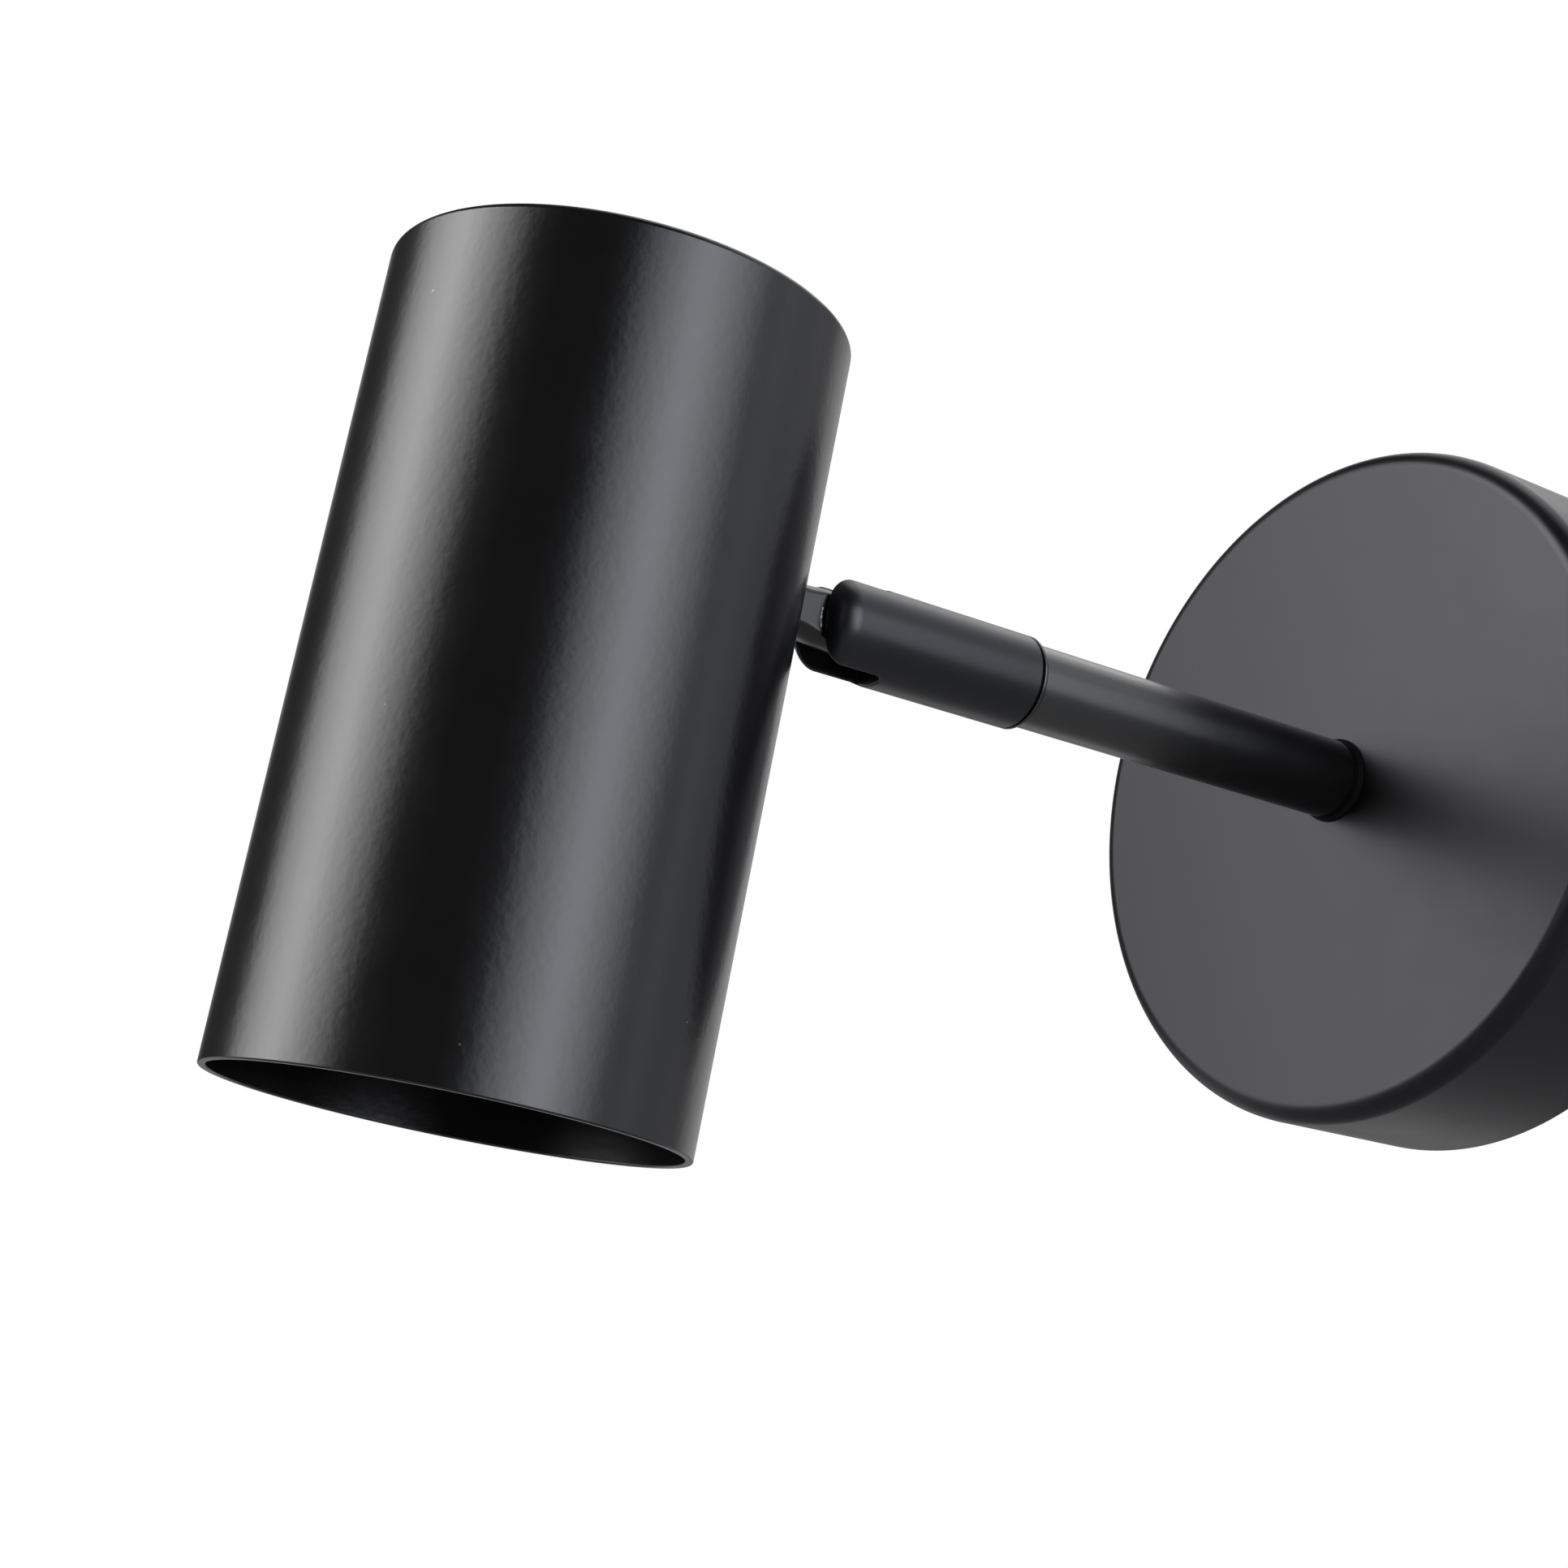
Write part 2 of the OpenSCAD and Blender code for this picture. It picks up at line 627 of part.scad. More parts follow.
module pivot_screw() {
  head_h = 1.2;
  color([0.1, 0.1, 0.1]) on_pivot() rotate([0, 180, 0]) difference() {
    union() {
      translate([0, 0, pivot_tip]) cylinder(d = pivot_d, h = far_seat - pivot_tip + head_h / 2);
      translate([0, 0, far_seat + touch_gap]) cylinder(d = pivot_head_d, h = head_h);
    }
    translate([0, 0, far_seat + head_h / 2]) cylinder(d = pivot_head_d * 0.5, h = 2, $fn = 6);
  }
}

module pivot_pin() {
  color("silver") on_pivot() translate([0, 0, pivot_tip])
    cylinder(d = pivot_d, h = near_seat - touch_gap - pivot_tip);
}

module friction_washers() {
  outer = 2 * sqrt(pow(tongue_d / 2, 2) - pow(tongue_t / 2, 2)) - touch_gap;
  color("silver") on_pivot() for (s = [-1, 1])
    translate([0, 0, s * (tongue_t + slot_w) / 4 - friction_washer_t / 2])
      ring(outer, pivot_d + 4 * running_gap, friction_washer_t);
}

// Round neck with two milled flats and a ball end, then a flange and a hollow threaded stud
module knuckle_tongue() {
  flange_start = neck_len;
  stud_start = flange_start + flange_t;
  stud_len = saddle_t + head_d / 2 - stud_end;
  color([0.08, 0.08, 0.085]) leaning() on_arm(pivot_pos) difference() {
    union() {
      intersection() {
        union() {
          sphere(d = tongue_d);
          cylinder(d = tongue_d, h = flange_start + 1);
        }
        translate([-tongue_t / 2, -tongue_d, -tongue_d]) cube([tongue_t, 2 * tongue_d, 3 * tongue_d]);
      }
      translate([0, 0, flange_start]) cylinder(d = flange_d, h = flange_t);
      translate([0, 0, stud_start]) cylinder(d = stud_d, h = stud_len);
    }
    translate([-channel_w / 2, -channel_h / 2, -tongue_d])
      cube([channel_w, channel_h, tongue_d + flange_start + 1]);
    translate([0, 0, flange_start + 0.5]) cylinder(d = channel_h, h = flange_t + stud_len + 2);
    rotate([0, 90, 0]) cylinder(d = pivot_d + 2 * running_gap, h = 2 * tongue_d, center = true);
  }
}

// Head

// Washer whose far side is hollowed to sit on the round head
module saddle_washer() {
  color([0.03, 0.03, 0.03]) difference() {
    leaning() on_arm(pivot_pos + neck_len + flange_t + touch_gap)
      ring(saddle_d, stud_d + 2 * loose_gap, saddle_t + head_d / 8);
    in_head(-1) cylinder(d = head_d + 2 * touch_gap, h = head_len + 2);
  }
}

module head_shell() {
  color([0.08, 0.08, 0.085]) difference() {
    in_head() cup(head_d, head_len, head_wall, head_round);
    on_stud(0) cylinder(d = stud_d + 2 * loose_gap, h = head_d);
  }
}

// Lays its children at the stud inside the head: +Z runs back towards the wall, from r off the head's axis
module on_stud(r) {
  in_head(stud_height) translate([0, r, 0]) rotate([-90, 0, 0]) children();
}

module stud_lock_washer() {
  teeth = 10;
  outer = stud_nut_af * 1.15;
  color("silver") on_stud(lock_washer_in) difference() {
    ring(outer, stud_d + 2 * loose_gap, lock_washer_t);
    for (i = [0 : teeth - 1])
      rotate(i * 360 / teeth) translate([outer / 2 - 0.9, -0.4, -1]) cube([2, 0.8, lock_washer_t + 2]);
  }
}

module stud_nut() {
  color("silver") on_stud(stud_nut_in - touch_gap) hex_nut(stud_nut_af, stud_d + 2 * thread_gap, stud_nut_t);
}

// Bent strip: its short leg is clamped by the stud nut, and its long leg carries the lampholder
module holder_bracket() {
  leg_bottom = stud_height - stud_nut_corner - 1;
  leg_tip = -holder_d / 2;
  color("silver") in_head() difference() {
    union() {
      translate([-holder_bracket_w / 2, leg_in, leg_bottom])
        cube([holder_bracket_w, holder_bracket_t, holder_leg + holder_bracket_t - leg_bottom]);
      translate([-holder_bracket_w / 2, leg_tip, holder_leg])
        cube([holder_bracket_w, leg_out - leg_tip, holder_bracket_t]);
    }
    translate([0, 0, stud_height]) rotate([-90, 0, 0]) cylinder(d = stud_d + 2 * loose_gap, h = head_d);
    for (s = [-1, 1])
      translate([0, s * holder_screw_spacing / 2, holder_leg - 1])
        cylinder(d = holder_screw_d + 2 * thread_gap, h = holder_bracket_t + 2);
  }
}

// Ceramic disc with two bayonet wells below and two screw holes from below
module lampholder() {
  color("white") in_head(holder_seat + touch_gap) difference() {
    rotate_extrude() {
      square([holder_d / 2, holder_h - 1.5]);
      square([holder_d / 2 - 1, holder_h - 2 * touch_gap]);
    }
    // Each pin goes in at a round hole, turns along a narrow slot, and its head locks in a chamber
    for (s = [0, 180]) rotate(s) {
      rotate(-pin_twist) translate([pin_spacing / 2, 0, -1]) cylinder(d = pin_hole_d, h = chamber_start + 2);
      translate([pin_spacing / 2, 0, -1]) cylinder(d = pin_slot_w + 0.3, h = chamber_start + 2);
      ring_sector(pin_spacing / 2, pin_slot_w, [-pin_twist, 0], [-1, chamber_start + 1]);
      ring_sector(pin_spacing / 2, chamber_w, [-pin_twist - chamber_turn, chamber_turn],
                  [chamber_start, pin_well_depth]);
    }
    for (s = [-1, 1]) translate([0, s * holder_screw_spacing / 2, -1]) {
      cylinder(d = holder_screw_d + 2 * loose_gap, h = holder_h + 2);
      cylinder(d = holder_screw_d * 1.9, h = holder_recess + 1);
    }
    for (s = [-1, 1])
      translate([s * lead_port_x, holder_d / 2 - lead_port_depth, lead_port_height - holder_seat])
        rotate([-90, 0, 0]) cylinder(d = lead_d + 2 * loose_gap, h = holder_d);
  }
}

// Part of a ring of middle radius r and width w, between two angles and two heights
module ring_sector(r, w, angles, heights) {
  rotate(angles[0]) rotate_extrude(angle = angles[1] - angles[0])
    translate([r - w / 2, heights[0]]) square([w, heights[1] - heights[0]]);
}

module holder_screws() {
  shank = holder_h - holder_recess + holder_bracket_t + 0.6;
  color("silver") in_head(holder_seat + holder_recess) for (s = [-1, 1])
    translate([0, s * holder_screw_spacing / 2, 0]) rotate([180, 0, 0])
      slotted_screw(holder_screw_d, shank, holder_screw_d * 1.8, 1.8, 0.8);
}

// Spring plates at the end of each well that press on the lamp's pins
module holder_contacts() {
  plate_t = 0.5;
  color("gold") in_head(holder_seat + pin_well_depth - plate_t - touch_gap)
    for (s = [0, 180]) rotate(s) translate([pin_spacing / 2, 0, 0])
      cylinder(d = chamber_w - 2 * loose_gap, h = plate_t);
}

// Lamp, with its lens down and its two pins in the holder

module lamp_body() {
  waist_r = base_d / 2 + 3.5;
  fin_root = waist_r - 4;
  shoulder = lamp_len * 0.66;
  color("whitesmoke") in_head(lamp_front) difference() {
    union() {
      rotate_extrude() polygon([
        [0, 0], [lamp_d / 2 - 0.6, 0], [lamp_d / 2, 0.6], [lamp_d / 2, rim_h],
        [lamp_d / 2 - 3, rim_h + 1.5], [waist_r - 2, shoulder],
        [waist_r - 2, lamp_body_len], [0, lamp_body_len]]);
      for (i = [0 : fins - 1]) rotate(i * 360 / fins) translate([0, fin_t / 2, 0]) rotate([90, 0, 0])
        linear_extrude(height = fin_t) polygon([
          [fin_root, rim_h], [lamp_d / 2 - 0.8, rim_h], [waist_r, shoulder + 1], [fin_root, shoulder + 1]]);
    }
    translate([0, 0, -1]) cylinder(d = lens_d + 2 * touch_gap, h = lens_t + 1);
  }
}

module lamp_base() {
  h = lamp_len - lamp_body_len - 2 * touch_gap;
  color("white") in_head(lamp_front + lamp_body_len + touch_gap) intersection() {
    cylinder(d = base_d, h = h);
    translate([-base_d / 2, -base_d * 0.36, 0]) cube([base_d, base_d * 0.72, h]);
  }
}

module lamp_lens() {
  color("lightyellow") in_head(lamp_front + touch_gap) rotate_extrude() difference() {
    square([lens_d / 2, lens_t - 2 * touch_gap]);
    translate([lens_d / 2 - 1.4, -0.1]) square([0.6, 0.7]);
  }
}

module lamp_pins() {
  shank_d = 3;
  head_diameter = 4.9;
  color("silver") in_head(holder_seat + touch_gap / 2) for (s = [-1, 1])
    translate([s * pin_spacing / 2, 0, 0]) {
      cylinder(d = shank_d, h = pin_well_depth - 1);
      translate([0, 0, pin_well_depth - 3.6]) cylinder(d = head_diameter, h = 3);
    }
}

// Leads. Each runs straight at both ends and follows its bend in between.

function from_wall(points) = [for (p = points) [p[0], -p[1], p[2]]];
// The last points of a lead that comes down into its way of the terminal block
function into_way(way) = let (x = -terminal_mid - way * terminal_pitch)
  [[x, terminal_bore_height, terminal_len / 2 + 4], [x, terminal_bore_height, terminal_len / 2 + 1]];
function way_end(way) = [-terminal_mid - way * terminal_pitch, terminal_bore_height, lead_end_z];

// A lead from the swivel spigot's end, through the arm, to a way of the terminal block
module arm_lead(side, bend, way) {
  z = side * lead_gap / 2;
  start = [0, -(canopy_depth + spigot_end), z];
  shank_end = canopy_depth - shank_len;
  straight = [[0, shank_end + 3, z], [0, shank_end, z]];
  route = curve(from_wall(concat(straight, bend, into_way(way))), 3);
  lead(concat([start], route, from_wall([way_end(way)])), first = [1, 0, 0]);
}

module live_arm_lead() {
  color("saddlebrown") arm_lead(1, live_bend, 0);
}

module neutral_arm_lead() {
  color("royalblue") arm_lead(-1, neutral_bend, -1);
}

module earth_lead() {
  out = bracket_t + touch_gap + tag_barrel_height;
  barrel_end = tag_reach + tag_barrel_len;
  straight = [[earth_x, out, barrel_end], [earth_x, out, barrel_end + 2]];
  color("yellowgreen") lead(concat(
    from_wall([[earth_x, out, tag_reach]]),
    curve(from_wall(concat(straight, earth_bend, into_way(1))), 3),
    from_wall([way_end(1)])), first = [0, 1, 0]);
}

// A lead's short stretch inside the knuckle, from the spigot's end to the slot
module knuckle_lead(side) {
  on_arm(spigot_end + loose_gap) translate([0, side * lead_gap / 2, 0])
    cylinder(d = lead_d, h = slot_floor - spigot_end - loose_gap);
}

module live_knuckle_lead() {
  color("saddlebrown") knuckle_lead(1);
}

module neutral_knuckle_lead() {
  color("royalblue") knuckle_lead(-1);
}

// A lead from the tongue's end, through the hollow stud, to the lampholder's port
module head_lead(side) {
  z = stud_height + side * lead_gap / 2;
  from_axis = head_axis - pivot_pos + tongue_d / 2 - loose_gap;
  port_x = side * lead_port_x;
  mouth = holder_d / 2;
  bend = [[0, stud_end + lead_d, z], [0, stud_end, z],
          [port_x * 0.45, stud_end - lead_bend, z + lead_bend * 0.4],
          [port_x * 0.9, mouth + lead_bend, lead_port_height - loose_gap],
          [port_x, mouth + lead_d / 2, lead_port_height],
          [port_x, mouth - lead_d / 3, lead_port_height]];
  inner_end = [port_x, mouth - lead_port_depth + lead_d / 2, lead_port_height];
  in_head() lead(concat([[0, from_axis, z]], curve(bend, 3), [inner_end]), first = [1, 0, 0]);
}

module live_head_lead() {
  color("saddlebrown") head_lead(1);
}

module neutral_head_lead() {
  color("royalblue") head_lead(-1);
}

wall_bracket();
bracket_tabs();
canopy();
canopy_screws();
earth_screw();
earth_tag();
terminal_block();
terminal_inserts();
terminal_screws();
terminal_fixing_screw();
base_fitting();
arm_lock_washer();
arm_nut();
arm_tube();
swivel_spigot();
swivel_washer();
live_arm_lead();
neutral_arm_lead();
earth_lead();
knuckle_fork();
swivel_grub_screw();
pivot_screw();
pivot_pin();
friction_washers();
live_knuckle_lead();
neutral_knuckle_lead();
knuckle_tongue();
saddle_washer();
head_shell();
stud_lock_washer();
stud_nut();
holder_bracket();
lampholder();
holder_screws();
holder_contacts();
live_head_lead();
neutral_head_lead();
lamp_base();
lamp_body();
lamp_lens();
lamp_pins();
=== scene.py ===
"""Looks of an adjustable wall light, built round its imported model.

A round wall canopy carries a short straight arm, a swivel-and-tilt knuckle and a
cylindrical head with a recessed reflector lamp. Sizes in the builders are millimetres in
the place of the part that they belong to. A piece's mesh is in metres, in the object's
own frame: the wall is y = 0, the light stands out of it along -Y, and +Z is up.
"""

from __future__ import annotations

import logging
import math
from dataclasses import dataclass, field
from enum import Enum
from typing import Callable, Iterable, Sequence

import bmesh
import bpy
import numpy as np
from mathutils import Matrix, Vector


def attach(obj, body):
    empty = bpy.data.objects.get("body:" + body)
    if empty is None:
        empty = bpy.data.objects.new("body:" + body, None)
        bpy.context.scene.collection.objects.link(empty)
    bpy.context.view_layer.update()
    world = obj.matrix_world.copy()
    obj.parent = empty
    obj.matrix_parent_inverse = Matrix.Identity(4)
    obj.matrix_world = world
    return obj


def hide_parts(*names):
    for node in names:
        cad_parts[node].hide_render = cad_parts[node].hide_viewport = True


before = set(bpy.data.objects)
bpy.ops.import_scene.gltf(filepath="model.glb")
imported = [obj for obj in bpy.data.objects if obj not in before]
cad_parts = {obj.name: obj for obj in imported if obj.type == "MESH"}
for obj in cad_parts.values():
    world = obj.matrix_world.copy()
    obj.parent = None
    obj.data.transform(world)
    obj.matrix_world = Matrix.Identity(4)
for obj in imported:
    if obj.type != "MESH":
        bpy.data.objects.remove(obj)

log = logging.getLogger("wall_light")
logging.basicConfig(level=logging.INFO, format="%(name)s: %(message)s")

MM = 0.001
# Beyond every piece, in mm
FAR = 1e3
# Points of a mesh, and of a model part, that are closer than this are one, in metres
SAME_SPOT = 1e-7
SAME_MODEL_SPOT = 2e-6

Triple = tuple[float, float, float]
Pair = tuple[float, float]
Colour = tuple[float, float, float]
Piece = bpy.types.Object
Tree = bpy.types.NodeTree
Node = bpy.types.Node
Socket = bpy.types.NodeSocket

WHITE = (1.0, 1.0, 1.0, 1.0)


class Body(Enum):
    """The moving bodies of the light."""

    WALL = "wall_base"
    KNUCKLE = "knuckle"
    HEAD = "head"


class Slot(Enum):
    """The finishes' named slots."""

    POWDER = "black_powder"
    DARK_STEEL = "black_steel"
    ZINC = "zinc_steel"
    BRASS = "brass"
    NYLON = "nylon"
    CERAMIC = "ceramic"
    RUBBER = "rubber"
    CASING = "lamp_casing"
    GLASS = "lamp_glass"
    BROWN = "brown_insulation"
    BLUE = "blue_insulation"
    EARTH = "earth_insulation"


@dataclass(frozen=True)
class Seat:
    """A place on the light: its own origin and directions in the object's frame."""

    origin: Triple
    x: Triple = (1.0, 0.0, 0.0)
    y: Triple = (0.0, 1.0, 0.0)
    z: Triple = (0.0, 0.0, 1.0)

    @property
    def basis(self) -> np.ndarray:
        """The three directions as rows."""
        return np.array([self.x, self.y, self.z], dtype=float)

    def place(self, points: np.ndarray) -> np.ndarray:
        """Moves points of the seat, in mm, to the object's frame, in metres."""
        return (np.asarray(points, dtype=float) @ self.basis + np.array(self.origin)) * MM

    def matrix(self) -> Matrix:
        """The seat as a rigid move, in metres, from the object's own frame."""
        columns = self.basis.T
        return Matrix([[*columns[i], self.origin[i] * MM] for i in range(3)] + [[0, 0, 0, 1]])


@dataclass(frozen=True)
class Layout:
    """Where the main parts stand, in mm, as in the model."""

    canopy_depth: float = 28.5
    pivot_pos: float = 92.52
    head_axis: float = 136.12
    stud_height: float = 76.0
    head_lean: float = 4.0
    head_d: float = 60.0
    side_height: float = 9.5
    earth_x: float = 15.0
    block_x: float = 17.5
    passage_r: float = 2.6
    collar_face: float = 63.6

    def arm(self, t: float = 0.0) -> Seat:
        """On the arm, t past the canopy's face: z runs out along the arm and y is up."""
        return Seat((0, -(self.canopy_depth + t), 0), (1, 0, 0), (0, 0, 1), (0, -1, 0))

    def wall(self, height: float = 0.0) -> Seat:
        """On the wall: z runs away from it and y is up."""
        return self.arm(height - self.canopy_depth)

    def leaning(self, seat: Seat) -> Seat:
        """A seat as it stands at rest, when the head's lean has turned it about the pivot.

        Args:
            seat: The seat while the head is upright.

        Returns:
            The turned seat.
        """
        turn = Matrix.Rotation(-math.radians(self.head_lean), 3, "X")
        pivot = Vector((0.0, -(self.canopy_depth + self.pivot_pos), 0.0))
        origin = pivot + turn @ (Vector(seat.origin) - pivot)
        return Seat(tuple(origin), *(tuple(turn @ Vector(d)) for d in (seat.x, seat.y, seat.z)))

    def tongue(self) -> Seat:
        """At the pivot, on the tongue: z runs out to the head."""
        return self.leaning(self.arm(self.pivot_pos))

    def head(self, height: float = 0.0) -> Seat:
        """In the head, up from its open end: z is up."""
        at = (0, -(self.canopy_depth + self.head_axis), height - self.stud_height)
        return self.leaning(Seat(at))

    def stud(self, r: float = 0.0) -> Seat:
        """At the stud in the head, r off the head's axis: z runs back to the wall."""
        at = (0, r - self.canopy_depth - self.head_axis, 0)
        return self.leaning(Seat(at, (1, 0, 0), (0, 0, -1), (0, 1, 0)))


LAYOUT = Layout()


# Meshes


def unit(v: np.ndarray) -> np.ndarray:
    """The direction of a vector."""
    return v / max(float(np.linalg.norm(v)), 1e-12)


def eased(corners: Sequence[Triple], closed: bool = True, steps: int = 6) -> list[Pair]:
    """Rounds the corners of an outline.

    Args:
        corners: Points of the outline, each with the radius of its corner.
        closed: Whether the last point joins the first.
        steps: Stretches in each rounded corner.

    Returns:
        The outline's points.
    """
    out: list[Pair] = []
    last = len(corners) - 1
    for i, (r, z, radius) in enumerate(corners):
        if radius <= 0 or (not closed and i in (0, last)):
            out.append((r, z))
            continue
        here = np.array((r, z))
        to_before = unit(np.array(corners[i - 1][:2]) - here)
        to_after = unit(np.array(corners[(i + 1) % len(corners)][:2]) - here)
        half = math.acos(float(np.clip(to_before @ to_after, -1, 1))) / 2
        middle = here + unit(to_before + to_after) * radius / math.sin(half)
        start = here + to_before * radius / math.tan(half) - middle
        end = here + to_after * radius / math.tan(half) - middle
        first = math.atan2(start[1], start[0])
        sweep = math.atan2(end[1], end[0]) - first
        sweep = (sweep + math.pi) % (2 * math.pi) - math.pi
        for k in range(steps + 1):
            angle = first + sweep * k / steps
            out.append((middle[0] + radius * math.cos(angle), middle[1] + radius * math.sin(angle)))
    return out


@dataclass
class Form:
    """A mesh in the making: points in mm and faces."""

    points: np.ndarray
    faces: list[tuple[int, ...]]

    def joined(self, other: "Form") -> "Form":
        """This form and another as one.

        Args:
            other: The other form.

        Returns:
            Both together.
        """
        shift = len(self.points)
        moved = [tuple(i + shift for i in face) for face in other.faces]
        return Form(np.vstack([self.points, other.points]), self.faces + moved)

    def mesh(self, name: str, seat: Seat) -> bpy.types.Mesh:
        """Makes the mesh at its place, closed up and with its faces outward.

        Args:
            name: Name of the mesh.
            seat: Where the form stands.

        Returns:
            The mesh, in metres in the object's frame.
        """
        mesh = bpy.data.meshes.new(name)
        mesh.from_pydata([tuple(p) for p in seat.place(self.points)], [], self.faces)
        work = bmesh.new()
        work.from_mesh(mesh)
        bmesh.ops.remove_doubles(work, verts=work.verts, dist=SAME_SPOT)
        bmesh.ops.recalc_face_normals(work, faces=work.faces)
        work.to_mesh(mesh)
        work.free()
        return mesh

    def piece(self, name: str, seat: Seat) -> Piece:
        """Makes the form a smoothly shaded piece.

        Args:
            name: Name of the piece.
            seat: Where the form stands.

        Returns:
            The piece.
        """
        made = new_object(name, self.mesh(name, seat))
        shaded(made)
        return made


def turned(outline: Sequence[Pair], segments: int = 160) -> Form:
    """Turns an outline about z.

    Args:
        outline: Radius and height of each point. It is a closed loop, or it runs from
            axis to axis where its first and last radius are 0.
        segments: Steps round the axis.

    Returns:
        The turned form.
    """
    angles = np.linspace(0, 2 * math.pi, segments, endpoint=False)
    ring = np.stack([np.cos(angles), np.sin(angles)], axis=1)
    points: list[np.ndarray] = []
    rows: list[list[int]] = []
    count = 0
    for r, z in outline:
        if r < 1e-9:
            points.append(np.array([[0, 0, z]]))
            rows.append([count] * segments)
            count += 1
            continue
        points.append(np.column_stack([ring * r, np.full(segments, z)]))
        rows.append(list(range(count, count + segments)))
        count += segments
    to_axis = outline[0][0] < 1e-9 and outline[-1][0] < 1e-9
    pairs = list(zip(rows, rows[1:])) + ([] if to_axis else [(rows[-1], rows[0])])
    faces = []
    for low, high in pairs:
        for i in range(segments):
            j = (i + 1) % segments
            face = dict.fromkeys((low[i], low[j], high[j], high[i]))
            if len(face) > 2:
                faces.append(tuple(face))
    return Form(np.vstack(points), faces)


def extruded(outline: Sequence[Pair], low: float, high: float) -> Form:
    """A prism on an outline in x and y, from one height to another.

    Args:
        outline: Points in x and y.
        low: Height of its foot.
        high: Height of its top.

    Returns:
        The prism.
    """
    n = len(outline)
    points = np.array([(x, y, z) for z in (low, high) for x, y in outline])
    sides = [(i, (i + 1) % n, n + (i + 1) % n, n + i) for i in range(n)]
    return Form(points, sides + [tuple(range(n))[::-1], tuple(range(n, 2 * n))])


def thread(r: float, pitch: float, low: float, high: float, depth: float) -> Form:
    """The ridge of a screw thread round z.

    Args:
        r: Outer radius of the thread.
        pitch: Rise in one turn.
        low: Height where it starts.
        high: Height where it ends.
        depth: Height of the ridge.

    Returns:
        The ridge, closed at both ends and sunk a little into its core.
    """
    per_turn, run_out = 48, 16
    sunk, foot, crest = depth * 1.25, 0.42, 0.08
    steps = max(int((high - low) / pitch * per_turn), per_turn)
    section = [(-sunk, -foot), (0.0, -crest), (0.0, crest), (-sunk, foot)]
    points = []
    for i in range(steps + 1):
        angle = 2 * math.pi * i / per_turn
        height = low + (high - low) * i / steps
        fade = min(1.0, i / run_out, (steps - i) / run_out)
        for inward, up in section:
            radius = r - sunk + (sunk + inward) * fade
            points.append((radius * math.cos(angle), radius * math.sin(angle), height + up * pitch))
    n = len(section)
    faces = [
        (i * n + k, i * n + (k + 1) % n, (i + 1) * n + (k + 1) % n, (i + 1) * n + k)
        for i in range(steps)
        for k in range(n)
    ]
    faces += [tuple(range(n))[::-1], tuple(range(steps * n, (steps + 1) * n))]
    return Form(np.array(points), faces)


def drill(diameter: float, low: float, high: float, seat: Seat) -> bpy.types.Mesh:
    """A round cutter along z, from one height to another."""
    r = diameter / 2
    return turned([(0, low), (r, low), (r, high), (0, high)], 48).mesh("drill", seat)


